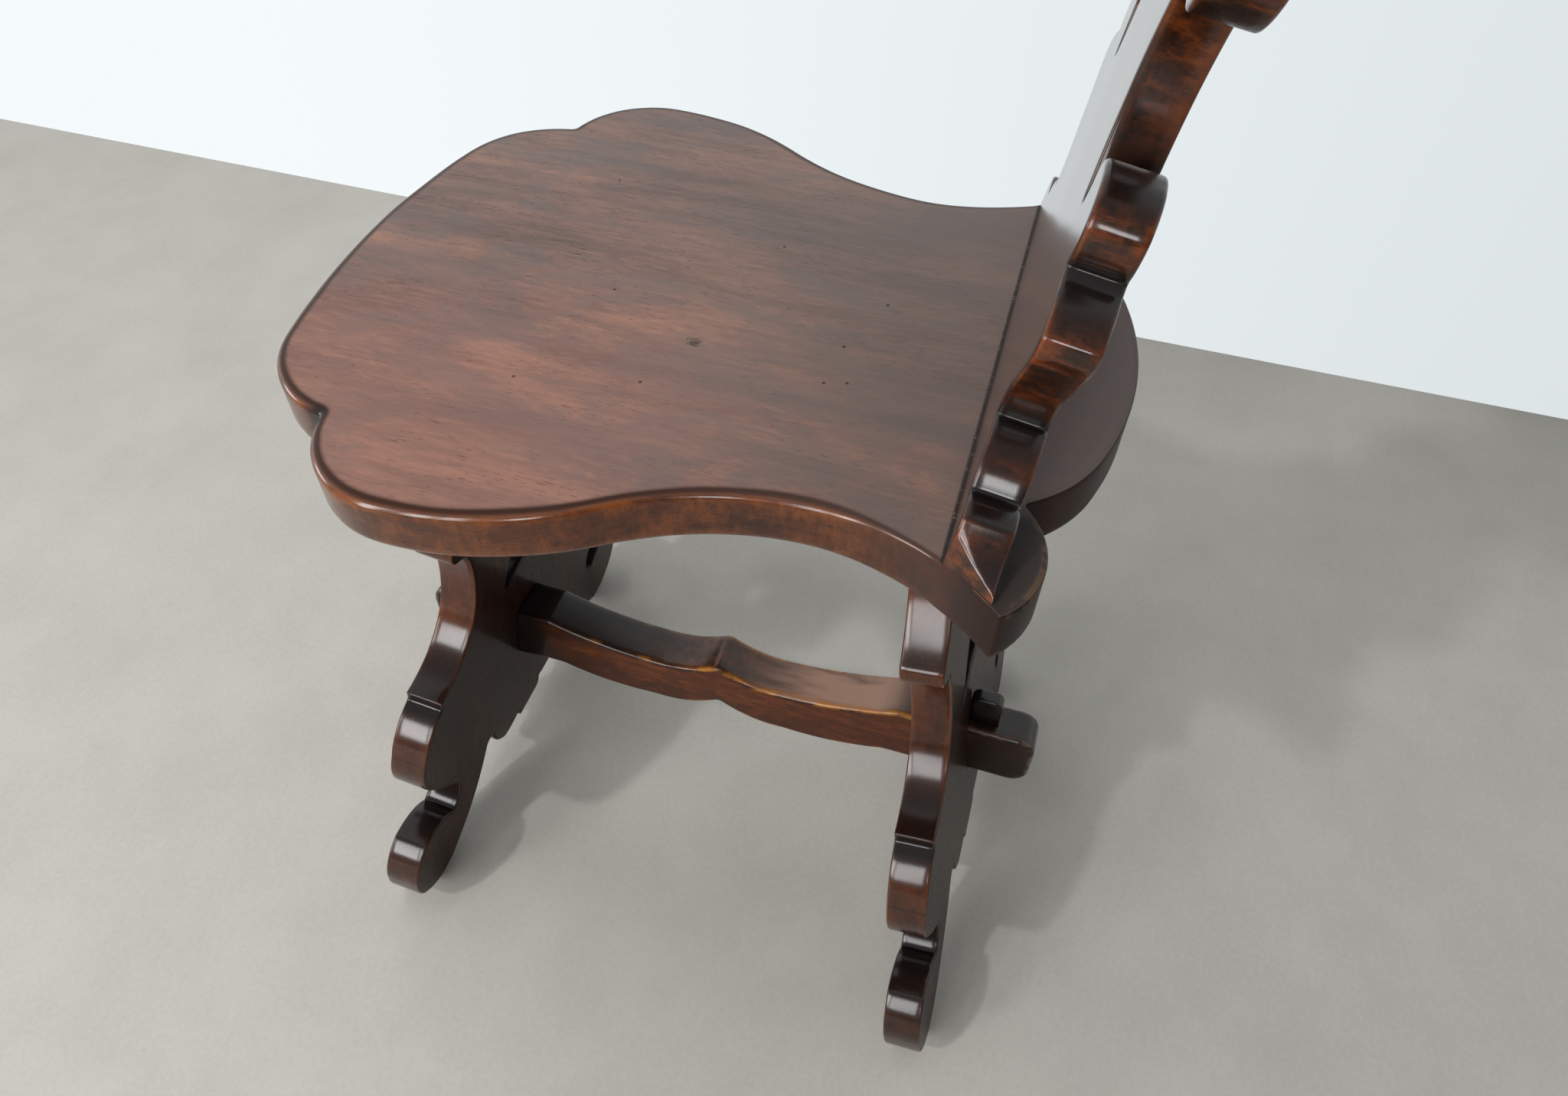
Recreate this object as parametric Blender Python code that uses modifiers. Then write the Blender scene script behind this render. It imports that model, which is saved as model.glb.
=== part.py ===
# A sgabello chair: a scroll-cut plank seat on two splayed plank legs, which one long stretcher
# with keyed tusk tenons ties together, and a raked scroll-cut back board tenoned into the seat.
# Metres, +Z up, the sitter faces -Y, the floor is z = 0 and the chair is symmetric in X.
import math

import bmesh
import bpy
from mathutils import Matrix, Vector

for old in list(bpy.data.objects):
    bpy.data.objects.remove(old, do_unlink=True)

# Overall. The back line is where the back board's front face meets the seat top.
SEAT_HEIGHT = 0.454      # floor to seat top
FIT = 0.0003             # gap left between pieces that touch
CHORD = 0.00022          # how far a facet may lie off its arc
MERGE = 0.00002          # points closer than this are one point
CLEAR = 0.0500           # how far a cutter runs past what it cuts

# Seat
SEAT_T = 0.026
SEAT_ROUND = 0.0050
SEAT_FRONT = 0.3295      # back line to front centre
SEAT_FRONT_BOW = 0.0095  # how far the front edge bows
CUSP_X = 0.1325          # cusp between front scallop and corner lobe
CUSP_BACK = 0.0560       # behind the front centre
SEAT_HALF = 0.1750       # widest, at the corner lobes
SEAT_HALF_BACK = 0.1055  # behind the front centre
WAIST_HALF = 0.1215      # narrowest, just before the back board
WAIST_FORE = 0.0540      # before the back line
EAR_X = 0.1545           # pointed ear at each end of the back board
EAR_Y = 0.0255           # behind the back line
EAR_CUSP_X = 0.0935      # cusp between ear and rear lobe
SEAT_REAR = 0.0630       # back line to rear centre

# Legs
LEG_T = 0.0235
LEG_ROUND = 0.0012
FRONT_LEAN = math.radians(8.9)
REAR_LEAN = math.radians(7.8)
FRONT_LEG_BACK = 0.0805  # inner face at the seat's underside, behind the front centre
REAR_LEG_FORE = 0.0294   # inner face at the seat's underside, before the back line
PENDANT_HALF = 0.0420    # lobed drop between the feet
ARCH_HALF = 0.0645       # top of the arch beside it
ARCH_ROUND = 0.0045
FOOT_PROUD = 0.0005      # the feet stand this far out past the seat's sides
FOOT_W = 0.0415
NOTCH_HALF = 0.1130      # inner end of the notch above the foot
LOBE_HALF = 0.1440
LEDGE_HALF = 0.1180
LEDGE_SLOPE = 0.0060     # sloping cut under the ledge
NECK_HALF = 0.0670
LIP_HALF = 0.0870
UPPER_NECK_HALF = 0.0550
FLANGE_HALF = 0.1150
FLANGE_DEPTH = 0.0160
PIERCE_HALF = 0.0300     # bell-shaped opening
PIERCE_BOTTOM = 0.2110   # up the plank from the floor
PIERCE_H = 0.0830

# Stretcher, along Y
BAR_W = 0.0310
BAR_TOP = 0.1640         # top face at the legs, above the floor
BAR_H = 0.0470
BAR_DIP = 0.0150         # how far the two shallow hollows drop
BAR_ROUND = 0.0012
TUSK_SHOULDER = 0.0025   # step on each side where the tusk enters its leg
TUSK_OUT = 0.0420        # how far each tusk stands out of its leg
TUSK_ROUND = 0.0130

# Tusk keys
KEY_T = 0.0100
KEY_TOP_W = 0.0180       # width along Y at the top of the tusk
KEY_ABOVE = 0.0240       # stands above the tusk
KEY_BELOW = 0.0080       # comes out below it
KEY_CROWN = 0.0060       # rounding of its top corners
KEY_ROUND = 0.0010
KEY_DRAW = 0.0080        # the slot runs this far inside the leg, so that the key can draw up

# Back board, distances up the board from the seat top
BACK_T = 0.0210
BACK_ROUND = 0.0012
BACK_RAKE = math.radians(9.3)
BACK_LENGTH = 0.4300
NICK = 0.0030            # small ledge at each step of the outline
EAR_INSET = 0.0020       # the board's ear stops this far inside the seat's
EAR_LIP = 0.0020         # upright edge of the ear
EAR_FACET = 0.0150       # the ear's slanting facet starts this far outside the waist
EAR_FACET_FORE = 0.0040  # before the back line
EAR_FACET_INSET = 0.0005 # and ends this far inside the seat's ear
GROOVE_HALF = 0.1120     # groove beside the ear's round top
GROOVE_UP = 0.0215
EAR_ROUND_W = 0.0170
STEP_HALF = 0.0920
STEP_UP = 0.0400
WAVE_H = 0.0240          # hollow above the step
WING_HALF = 0.1190
WING_UP = 0.0970
WING_H = 0.0140          # from the widest place to each end of its round
CURL_HALF = 0.1020
CURL_H = 0.0450          # from the wing's widest place to the top of the curl
SLIT_HALF = 0.0600
SLIT_DEPTH = 0.0230      # slit between curl and neck
BACK_NECK_HALF = 0.0510
BACK_NECK_UP = 0.1520
CREST_UP = 0.2000
CREST_HALF = 0.1280
CREST_TOP_HALF = 0.0560
TENON_X = 0.0550         # middle of each back tenon
TENON_W = 0.0400
TENON_SHOULDER = 0.0040  # on both faces of the board
WEDGE_T = 0.0032
WEDGE_L = 0.0150
WEDGE_IN = 0.0040        # how far its thick end lies inside the seat's underside

# Dowels between legs and seat
DOWEL_R = 0.0050
DOWEL_L = 0.0320
DOWEL_IN_SEAT = 0.0130
DOWEL_X = 0.0800

# What follows from these; the back line is placed so that the chair is centred on the origin
Z_UNDER = SEAT_HEIGHT - SEAT_T
FOOT_HALF = SEAT_HALF + FOOT_PROUD
TUSK_W = BAR_W - 2.0 * TUSK_SHOULDER
TENON_T = BACK_T - 2.0 * TENON_SHOULDER
CURL_TOP = WING_UP + CURL_H
FRONT_REACH = (SEAT_FRONT - FRONT_LEG_BACK + LEG_T / math.cos(FRONT_LEAN) + TUSK_OUT
               + (Z_UNDER - BAR_TOP + BAR_H / 2.0) * math.tan(FRONT_LEAN))
REAR_REACH = BACK_LENGTH * math.sin(BACK_RAKE) + BACK_T * math.cos(BACK_RAKE)
BACK_LINE_Y = (FRONT_REACH - REAR_REACH) / 2.0
FAR = FRONT_REACH + REAR_REACH  # farther than any piece lies from the middle


def new_collection(name):
    made = bpy.data.collections.new(name)
    bpy.context.scene.collection.children.link(made)
    return made


PARTS = new_collection("sgabello_chair")
CUTTERS = new_collection("cutters")


def material(name, colour, rough):
    made = bpy.data.materials.new(name)
    made.use_nodes = True
    shader = made.node_tree.nodes["Principled BSDF"]
    shader.inputs["Base Color"].default_value = (*colour, 1.0)
    shader.inputs["Roughness"].default_value = rough
    return made


WOOD = (0.105, 0.040, 0.022)
SEAT_WOOD = material("seat_wood", (0.130, 0.060, 0.038), 0.30)
BACK_WOOD = material("back_wood", WOOD, 0.28)
LEG_WOOD = material("leg_wood", WOOD, 0.30)
BAR_WOOD = material("stretcher_wood", (0.120, 0.048, 0.024), 0.30)
KEY_WOOD = material("key_wood", (0.070, 0.032, 0.022), 0.34)
PEG_WOOD = material("peg_wood", (0.380, 0.230, 0.120), 0.60)


def arcs(corners):
    """Points along corners (x, y, bulge); bulge is tan(angle / 4) of the arc to the next corner."""
    points = []
    for (x0, y0, bulge), (x1, y1, _) in zip(corners, corners[1:]):
        points.append((x0, y0))
        if abs(bulge) < 1e-6:
            continue
        sweep = 4.0 * math.atan(bulge)
        chord = math.hypot(x1 - x0, y1 - y0)
        radius = abs(chord / (2.0 * math.sin(sweep / 2.0)))
        step = 2.0 * math.acos(max(0.0, 1.0 - CHORD / radius))
        count = max(2, math.ceil(abs(sweep) / step))
        lift = chord / (2.0 * math.tan(sweep / 2.0))
        cx = (x0 + x1) / 2.0 - (y1 - y0) / chord * lift
        cy = (y0 + y1) / 2.0 + (x1 - x0) / chord * lift
        start = math.atan2(y0 - cy, x0 - cx)
        for i in range(1, count):
            angle = start + sweep * i / count
            points.append((cx + radius * math.cos(angle), cy + radius * math.sin(angle)))
    points.append(corners[-1][:2])
    return points


def both_sides(half):
    """The whole outline from its right half, which starts and ends on x = 0."""
    return half + [(-x, y) for x, y in half[-2:0:-1]]


def outline_solid(name, outlines, thickness, place, where, round_edge=0.0, wood=None, facets=1):
    """A flat piece: closed outlines in local XY, thickness centred on local Z, arrises eased."""
    curve = bpy.data.curves.new(name, "CURVE")
    curve.dimensions = "2D"
    curve.fill_mode = "BOTH"
    curve.extrude = thickness / 2.0
    for points in outlines:
        spline = curve.splines.new("POLY")
        spline.points.add(len(points) - 1)
        for knot, (x, y) in zip(spline.points, points):
            knot.co = (x, y, 0.0, 1.0)
        spline.use_cyclic_u = True
    drawn = bpy.data.objects.new(name + "_outline", curve)
    where.objects.link(drawn)
    drawn.matrix_world = place
    bpy.context.view_layer.update()
    mesh = bpy.data.meshes.new_from_object(drawn.evaluated_get(bpy.context.evaluated_depsgraph_get()))
    made = bpy.data.objects.new(name, mesh)
    where.objects.link(made)
    made.matrix_world = drawn.matrix_world.copy()
    bpy.data.objects.remove(drawn, do_unlink=True)
    mesh.name = name
    joined = bmesh.new()
    joined.from_mesh(mesh)
    bmesh.ops.remove_doubles(joined, verts=joined.verts, dist=MERGE)
    bmesh.ops.dissolve_degenerate(joined, dist=MERGE, edges=joined.edges)
    bmesh.ops.dissolve_limit(joined, angle_limit=0.001, verts=joined.verts, edges=joined.edges)
    weight = joined.edges.layers.float.new("bevel_weight_edge")
    for edge in joined.edges:
        flat = [abs(face.normal.z) > 0.5 for face in edge.link_faces]
        edge[weight] = 1.0 if flat.count(True) == 1 else 0.0
    joined.to_mesh(mesh)
    joined.free()
    mesh.shade_smooth()
    mesh.set_sharp_from_angle(angle=math.radians(35.0))
    if round_edge:
        bevel = made.modifiers.new("round", "BEVEL")
        bevel.width = round_edge
        bevel.segments = facets
        bevel.limit_method = "WEIGHT"
        bevel.use_clamp_overlap = False
    if wood:
        mesh.materials.clear()
        mesh.materials.append(wood)
    else:
        made.hide_render = True
        made.display_type = "WIRE"
    return made


def box(name, low, high, place=Matrix.Identity(4)):
    """A cutting block between two corners of its local frame."""
    size = [b - a for a, b in zip(low, high)]
    middle = Vector([(a + b) / 2.0 for a, b in zip(low, high)])
    hx, hy = size[0] / 2.0, size[1] / 2.0
    corners = [(-hx, -hy), (hx, -hy), (hx, hy), (-hx, hy)]
    return outline_solid(name, [corners], size[2], place @ Matrix.Translation(middle), CUTTERS)


def rod(name, radius, length, place, where, wood=None, sides=16):
    """A round bar along local Z, centred on its origin."""
    ring = [(radius * math.cos(math.tau * i / sides), radius * math.sin(math.tau * i / sides))
            for i in range(sides)]
    return outline_solid(name, [ring], length, place, where, 0.0, wood)


def cut(target, tool):
    step = target.modifiers.new("cut_" + tool.name, "BOOLEAN")
    step.operation = "DIFFERENCE"
    step.solver = "EXACT"
    step.object = tool


def frame(x_axis, y_axis, origin):
    """The placement whose local X and Y point along the two given directions."""
    x = Vector(x_axis).normalized()
    z = x.cross(Vector(y_axis)).normalized()
    y = z.cross(x)
    turned = Matrix((x, y, z)).transposed().to_4x4()
    turned.translation = Vector(origin)
    return turned


# Seat: one plank, scalloped in front, waisted at the sides, with an ear at each end of the back
# board and a round lobe behind it. Local Y runs back from the back line.
bow_x = 0.67 * CUSP_X
bow_y = SEAT_FRONT_BOW - SEAT_FRONT
cusp_y = CUSP_BACK - SEAT_FRONT
wide_y = SEAT_HALF_BACK - SEAT_FRONT
bow_turn = 2.0 * math.atan(SEAT_FRONT_BOW / bow_x)
corner_turn = math.atan2(cusp_y - bow_y, CUSP_X - bow_x) - bow_turn
lobe_turn = math.pi / 2.0 - math.atan2(wide_y - cusp_y, SEAT_HALF - CUSP_X)
side_turn = math.atan2(SEAT_HALF - WAIST_HALF, -WAIST_FORE - wide_y)
side_mid = ((SEAT_HALF + WAIST_HALF) / 2.0, (wide_y - WAIST_FORE) / 2.0)
ear_turn = math.atan2(EAR_X - WAIST_HALF, EAR_Y + WAIST_FORE)
rear_mid = (0.62 * EAR_CUSP_X, EAR_Y + 0.74 * (SEAT_REAR - EAR_Y))
rear_turn = math.atan2(SEAT_REAR - rear_mid[1], rear_mid[0])
rear_side_turn = math.pi - 2.0 * rear_turn - math.atan2(rear_mid[1] - EAR_Y, rear_mid[0] - EAR_CUSP_X)
seat_half = arcs([
    (0.0, -SEAT_FRONT, math.tan(bow_turn / 4.0)),
    (bow_x, bow_y, math.tan(corner_turn / 2.0)),
    (CUSP_X, cusp_y, math.tan(lobe_turn / 2.0)),
    (SEAT_HALF, wide_y, math.tan(side_turn / 2.0)),
    (*side_mid, -math.tan(side_turn / 2.0)),
    (WAIST_HALF, -WAIST_FORE, -math.tan(ear_turn / 2.0)),
    (EAR_X, EAR_Y, 0.44),
    (EAR_CUSP_X, EAR_Y, math.tan(rear_side_turn / 2.0)),
    (*rear_mid, math.tan(rear_turn / 2.0)),
    (0.0, SEAT_REAR, 0.0),
])
seat = outline_solid("seat", [both_sides(seat_half)], SEAT_T,
                     Matrix.Translation((0.0, BACK_LINE_Y, SEAT_HEIGHT - SEAT_T / 2.0)),
                     PARTS, SEAT_ROUND, SEAT_WOOD, 2)


# Legs: the same scroll-cut plank twice. Local X is across the chair, local Y up the plank from the
# floor, and local Z points away from the other leg, with the inner face at -LEG_T / 2.
def leg_outlines(length):
    """The scroll pattern: half-widths as named, heights as shares of the leg's length."""
    sole = -0.007
    flange = 1.0 - (SEAT_T + FLANGE_DEPTH) / length
    flange_edge = flange + 0.022
    half = arcs([(x, share * length, bulge) for x, share, bulge in (
        (0.0, 0.054, 0.0),
        (0.36 * PENDANT_HALF, 0.054, 0.25),
        (0.43 * PENDANT_HALF, 0.076, 0.12),
        (PENDANT_HALF, 0.074, 0.20),
        (ARCH_HALF - ARCH_ROUND, 0.142, -0.45),
        (ARCH_HALF + ARCH_ROUND, 0.142, 0.16),
        (FOOT_HALF - FOOT_W, sole, 0.0),
        (FOOT_HALF - 0.76 * FOOT_W, sole, 0.34),
        (FOOT_HALF, 0.087, 0.30),
        (FOOT_HALF - 0.42 * FOOT_W, 0.161, 0.27),
        (1.07 * NOTCH_HALF, 0.126, -0.45),
        (NOTCH_HALF, 0.187, 0.05),
        (LOBE_HALF, 0.290, 0.22),
        (LOBE_HALF, 0.357, 0.20),
        (LEDGE_HALF + LEDGE_SLOPE, 0.418, 0.0),
        (LEDGE_HALF, 0.425, 0.0),
        (LEDGE_HALF, 0.440, -0.40),
        (NECK_HALF, 0.556, -0.12),
        (1.10 * NECK_HALF, 0.651, 0.0),
        (0.97 * LIP_HALF, 0.662, 0.40),
        (LIP_HALF, 0.693, -0.16),
        (UPPER_NECK_HALF, 0.797, -0.30),
        (0.90 * FLANGE_HALF, flange, 0.35),
        (FLANGE_HALF, flange_edge, 0.0),
        (FLANGE_HALF, 1.0, 0.0),
        (0.0, 1.0, 0.0),
    )])
    bell = arcs([
        (0.0, PIERCE_BOTTOM + 0.06 * PIERCE_H, -0.10),
        (PIERCE_HALF, PIERCE_BOTTOM, 0.10),
        (0.42 * PIERCE_HALF, PIERCE_BOTTOM + 0.52 * PIERCE_H, -0.10),
        (0.0, PIERCE_BOTTOM + PIERCE_H, 0.0),
    ])
    return [both_sides(half), both_sides(bell)]


def leg_place(inner_y, lean, side):
    """Side -1 leans the plank forward (-Y) toward the floor, +1 backward."""
    up = (0.0, -side * math.sin(lean), math.cos(lean))
    foot_y = BACK_LINE_Y + inner_y + side * Z_UNDER * math.tan(lean)
    place = frame((-side, 0.0, 0.0), up, (0.0, foot_y, 0.0))
    out = Vector((0.0, side * math.cos(lean), math.sin(lean)))
    place.translation += out * (LEG_T / 2.0)
    return place


def inner_face_y(inner_y, lean, side, z):
    return BACK_LINE_Y + inner_y + side * (Z_UNDER - z) * math.tan(lean)


def outer_face_y(inner_y, lean, side, z):
    return inner_face_y(inner_y, lean, side, z) + side * LEG_T / math.cos(lean)


floor_block = box("floor_block", (-FAR, -FAR, -CLEAR), (FAR, FAR, 0.0))
under_block = box("under_block", (-FAR, -FAR, Z_UNDER - FIT), (FAR, FAR, SEAT_HEIGHT + CLEAR))
LEGS = {"front": (FRONT_LEG_BACK - SEAT_FRONT, FRONT_LEAN, -1), "rear": (-REAR_LEG_FORE, REAR_LEAN, 1)}
legs = {}
for end, (inner_y, lean, side) in LEGS.items():
    place = leg_place(inner_y, lean, side)
    leg = outline_solid(end + "_leg", leg_outlines(SEAT_HEIGHT / math.cos(lean)), LEG_T, place,
                        PARTS, LEG_ROUND, LEG_WOOD)
    cut(leg, floor_block)
    cut(leg, under_block)
    legs[end] = leg

# Dowels: three in the top edge of each leg, following the leg's lean up into the seat.
for end, (inner_y, lean, side) in LEGS.items():
    place = leg_place(inner_y, lean, side)
    top = Z_UNDER / math.cos(lean)
    turn = Matrix.Rotation(-math.pi / 2.0, 4, "X")
    for i, x in enumerate((-DOWEL_X, 0.0, DOWEL_X)):
        middle = top + DOWEL_IN_SEAT - DOWEL_L / 2.0
        spot = place @ Matrix.Translation((x, middle, 0.0)) @ turn
        name = "%s_dowel_%d" % (end, i + 1)
        rod(name, DOWEL_R, DOWEL_L, spot, PARTS, PEG_WOOD)
        hole = rod(name + "_hole", DOWEL_R + FIT, DOWEL_L + 2.0 * FIT, spot, CUTTERS)
        cut(seat, hole)
        cut(legs[end], hole)

# Stretcher: one bar with a waved profile between the legs and a plain tusk through each leg.
# Drawn in the YZ plane: local X is +Y, local Y is +Z, thickness along X.
bar_mid = BAR_TOP - BAR_H / 2.0
bar_front = inner_face_y(*LEGS["front"], BAR_TOP)
bar_rear = inner_face_y(*LEGS["rear"], BAR_TOP)
tusk_front = outer_face_y(*LEGS["front"], bar_mid) - TUSK_OUT
tusk_rear = outer_face_y(*LEGS["rear"], bar_mid) + TUSK_OUT
bar_centre = (bar_front + bar_rear) / 2.0
bar_reach = (bar_rear - bar_front) / 2.0
low, high = BAR_TOP - BAR_H, BAR_TOP
dip = BAR_DIP
hollow = 0.32 * bar_reach
bar_profile = arcs([
    (tusk_front + TUSK_ROUND, low, 0.0),
    (bar_centre - 0.80 * bar_reach, low, 0.10),
    (bar_centre - hollow, low - 0.55 * dip, 0.18),
    (bar_centre - 0.05 * bar_reach, low + 0.30 * dip, -0.30),
    (bar_centre + 0.05 * bar_reach, low + 0.30 * dip, 0.18),
    (bar_centre + hollow, low - 0.55 * dip, 0.10),
    (bar_centre + 0.80 * bar_reach, low, 0.0),
    (tusk_rear - TUSK_ROUND, low, 0.40),
    (tusk_rear, low + TUSK_ROUND, 0.0),
    (tusk_rear, high - TUSK_ROUND, 0.40),
    (tusk_rear - TUSK_ROUND, high, 0.0),
    (bar_centre + 0.84 * bar_reach, high, -0.08),
    (bar_centre + hollow, high - dip, -0.16),
    (bar_centre + 0.06 * bar_reach, high - 0.35 * dip, 0.16),
    (bar_centre - 0.06 * bar_reach, high - 0.35 * dip, -0.16),
    (bar_centre - hollow, high - dip, -0.08),
    (bar_centre - 0.84 * bar_reach, high, 0.0),
    (tusk_front + TUSK_ROUND, high, 0.40),
    (tusk_front, high - TUSK_ROUND, 0.0),
    (tusk_front, low + TUSK_ROUND, 0.40),
    (tusk_front + TUSK_ROUND, low, 0.0),
])[:-1]
side_view = frame((0.0, 1.0, 0.0), (0.0, 0.0, 1.0), (0.0, 0.0, 0.0))
stretcher = outline_solid("stretcher", [bar_profile], BAR_W, side_view, PARTS, BAR_ROUND, BAR_WOOD)
for end, (inner_y, lean, side) in LEGS.items():
    place = leg_place(inner_y, lean, side)
    face = -LEG_T / 2.0 - FIT
    for hand in (-1, 1):
        near, far = sorted((hand * TUSK_W / 2.0, hand * (BAR_W / 2.0 + CLEAR)))
        cheek = box("%s_cheek_%d" % (end, hand), (near, 0.0, face), (far, SEAT_HEIGHT, FAR), place)
        cut(stretcher, cheek)
    mouth = tuple(sorted((inner_face_y(inner_y, lean, side, high) - side * CLEAR,
                          outer_face_y(inner_y, lean, side, low) + side * CLEAR)))
    wide = TUSK_W / 2.0 + FIT
    mortise = box(end + "_mortise", (-wide, mouth[0], low - FIT), (wide, mouth[1], high + FIT))
    cut(legs[end], mortise)

# Keys: one wedge down through each tusk, flat against the leg's outer face and upright outside.
# Each slides straight up; its origin is on that line.
for end, (inner_y, lean, side) in LEGS.items():
    key_top = high + KEY_ABOVE
    key_foot = low - KEY_BELOW
    back_y = outer_face_y(inner_y, lean, side, high) + side * (FIT + KEY_TOP_W)
    flat_foot, flat_top = (
        side * (outer_face_y(inner_y, lean, side, z) - back_y) + FIT / math.cos(lean)
        for z in (key_foot, key_top - KEY_CROWN))
    sides = [
        (flat_foot, key_foot, 0.0),
        (0.0, key_foot, 0.0),
        (0.0, key_top - KEY_CROWN, 0.40),
        (-KEY_CROWN, key_top, 0.0),
        (flat_top + KEY_CROWN, key_top, 0.40),
        (flat_top, key_top - KEY_CROWN, 0.0),
        (flat_foot, key_foot, 0.0),
    ]
    middle_z = (key_top + key_foot) / 2.0
    profile = [(side * x, z - middle_z) for x, z in arcs(sides)[:-1]]
    spot = frame((0.0, 1.0, 0.0), (0.0, 0.0, 1.0), (0.0, back_y, middle_z))
    key = outline_solid(end + "_key", [profile], KEY_T, spot, PARTS, KEY_ROUND, KEY_WOOD)
    slot_in = outer_face_y(inner_y, lean, side, high) - side * KEY_DRAW
    slot_out = back_y + side * FIT
    slot_y = sorted((slot_in, slot_out))
    slot = box(end + "_slot", (-KEY_T / 2.0 - FIT, slot_y[0], low - CLEAR),
               (KEY_T / 2.0 + FIT, slot_y[1], high + CLEAR))
    cut(stretcher, slot)

# Back board: local X across, local Y up the board from the seat top, front face at local Z = 0.
board_up = (0.0, math.sin(BACK_RAKE), math.cos(BACK_RAKE))
board = frame((1.0, 0.0, 0.0), board_up, (0.0, BACK_LINE_Y, SEAT_HEIGHT))
board_back = Vector((0.0, math.cos(BACK_RAKE), -math.sin(BACK_RAKE)))
board_mid = board.copy()
board_mid.translation += board_back * (BACK_T / 2.0)
tail = 1.5 * SEAT_T
crest_h = BACK_LENGTH - CREST_UP
back_half = arcs([
    (0.0, -tail, 0.0),
    (EAR_X - EAR_INSET, -tail, 0.0),
    (EAR_X - EAR_INSET, EAR_LIP, -0.16),
    (GROOVE_HALF + EAR_ROUND_W, GROOVE_UP, 0.25),
    (GROOVE_HALF + NICK, GROOVE_UP, -0.40),
    (GROOVE_HALF, GROOVE_UP, 0.20),
    (STEP_HALF, STEP_UP, 0.0),
    (STEP_HALF - NICK, STEP_UP, -0.22),
    (STEP_HALF + 2.0 * NICK, STEP_UP + WAVE_H, 0.0),
    (WING_HALF - 2.0 * NICK, WING_UP - 0.85 * WING_H, 0.22),
    (WING_HALF - 0.7 * NICK, WING_UP + 0.15 * WING_H, 0.16),
    (CURL_HALF - 0.7 * NICK, WING_UP + WING_H, 0.0),
    (CURL_HALF - 2.0 * NICK, WING_UP + WING_H + NICK, 0.20),
    (CURL_HALF - NICK, CURL_TOP - 0.24 * CURL_H, 0.32),
    (0.80 * CURL_HALF, CURL_TOP, 0.24),
    (SLIT_HALF + 2.0 * NICK, CURL_TOP - 2.0 * NICK, -0.05),
    (SLIT_HALF + 0.7 * NICK, CURL_TOP - SLIT_DEPTH, -0.70),
    (SLIT_HALF - 0.7 * NICK, CURL_TOP - SLIT_DEPTH, -0.08),
    (BACK_NECK_HALF, BACK_NECK_UP, -0.18),
    (1.25 * BACK_NECK_HALF, CREST_UP - NICK, 0.0),
    (0.76 * CREST_HALF, CREST_UP - NICK, 0.30),
    (0.91 * CREST_HALF, CREST_UP + 0.13 * crest_h, -0.14),
    (0.94 * CREST_HALF, CREST_UP + 0.33 * crest_h, 0.0),
    (0.98 * CREST_HALF, CREST_UP + 0.34 * crest_h, 0.26),
    (0.83 * CREST_HALF, CREST_UP + 0.67 * crest_h, 0.0),
    (0.80 * CREST_HALF, CREST_UP + 0.68 * crest_h, -0.20),
    (CREST_TOP_HALF + NICK, CREST_UP + 0.87 * crest_h, 0.0),
    (CREST_TOP_HALF, CREST_UP + 0.89 * crest_h, 0.16),
    (0.0, BACK_LENGTH, 0.0),
])
back = outline_solid("back_board", [both_sides(back_half)], BACK_T, board_mid, PARTS,
                     BACK_ROUND, BACK_WOOD)

# The board stands on the seat with two raked through tenons; its pointed ends follow the seat edge.
shoulder = box("shoulder", (-FAR, -FAR, Z_UNDER - CLEAR), (FAR, FAR, SEAT_HEIGHT + FIT))
foot_trim = box("foot_trim", (-FAR, -FAR, Z_UNDER - CLEAR), (FAR, FAR, Z_UNDER + FIT))
for hand in (-1, 1):
    label = "left" if hand < 0 else "right"
    x0, x1 = sorted((hand * (TENON_X - TENON_W / 2.0), hand * (TENON_X + TENON_W / 2.0)))
    spared = box(label + "_tenon", (x0, -FAR, -TENON_T / 2.0), (x1, CLEAR, TENON_T / 2.0), board_mid)
    cut(shoulder, spared)
    hole = box(label + "_tenon_hole", (x0 - FIT, -tail - CLEAR, -TENON_T / 2.0 - FIT),
               (x1 + FIT, CLEAR, TENON_T / 2.0 + FIT), board_mid)
    cut(seat, hole)
cut(back, shoulder)
cut(back, foot_trim)
for hand in (-1, 1):
    label = "left" if hand < 0 else "right"
    ear = [(WAIST_HALF + EAR_FACET, -EAR_FACET_FORE), (EAR_X + CLEAR, -EAR_FACET_FORE),
           (EAR_X + CLEAR, EAR_Y), (EAR_X - EAR_FACET_INSET, EAR_Y)]
    corners = [(hand * x, y) for x, y in ear][::hand]
    trim = outline_solid(label + "_ear_trim", [corners], 2.0 * CLEAR,
                         Matrix.Translation((0.0, BACK_LINE_Y, SEAT_HEIGHT)), CUTTERS)
    cut(back, trim)

# Wedges: a thin one driven up into each back tenon from below the seat.
wedge_foot = WEDGE_IN - SEAT_T / math.cos(BACK_RAKE)
for hand in (-1, 1):
    label = "left" if hand < 0 else "right"
    thin, thick = WEDGE_T * 0.35, WEDGE_T
    sides = [(-thick / 2.0, 0.0), (thick / 2.0, 0.0), (thin / 2.0, WEDGE_L), (-thin / 2.0, WEDGE_L)]
    spot = board_mid @ Matrix.Translation((hand * TENON_X, wedge_foot, 0.0))
    outline_solid(label + "_tenon_wedge", [sides], TENON_T, spot, PARTS, 0.0, PEG_WOOD)
    slack = [(-thick / 2.0 - FIT, -CLEAR), (thick / 2.0 + FIT, -CLEAR), (thick / 2.0 + FIT, 0.0),
             (thin / 2.0 + FIT, WEDGE_L + FIT), (-thin / 2.0 - FIT, WEDGE_L + FIT),
             (-thick / 2.0 - FIT, 0.0)]
    kerf = outline_solid(label + "_kerf", [slack], TENON_T + CLEAR, spot, CUTTERS)
    cut(back, kerf)
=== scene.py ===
import itertools
import math

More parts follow.
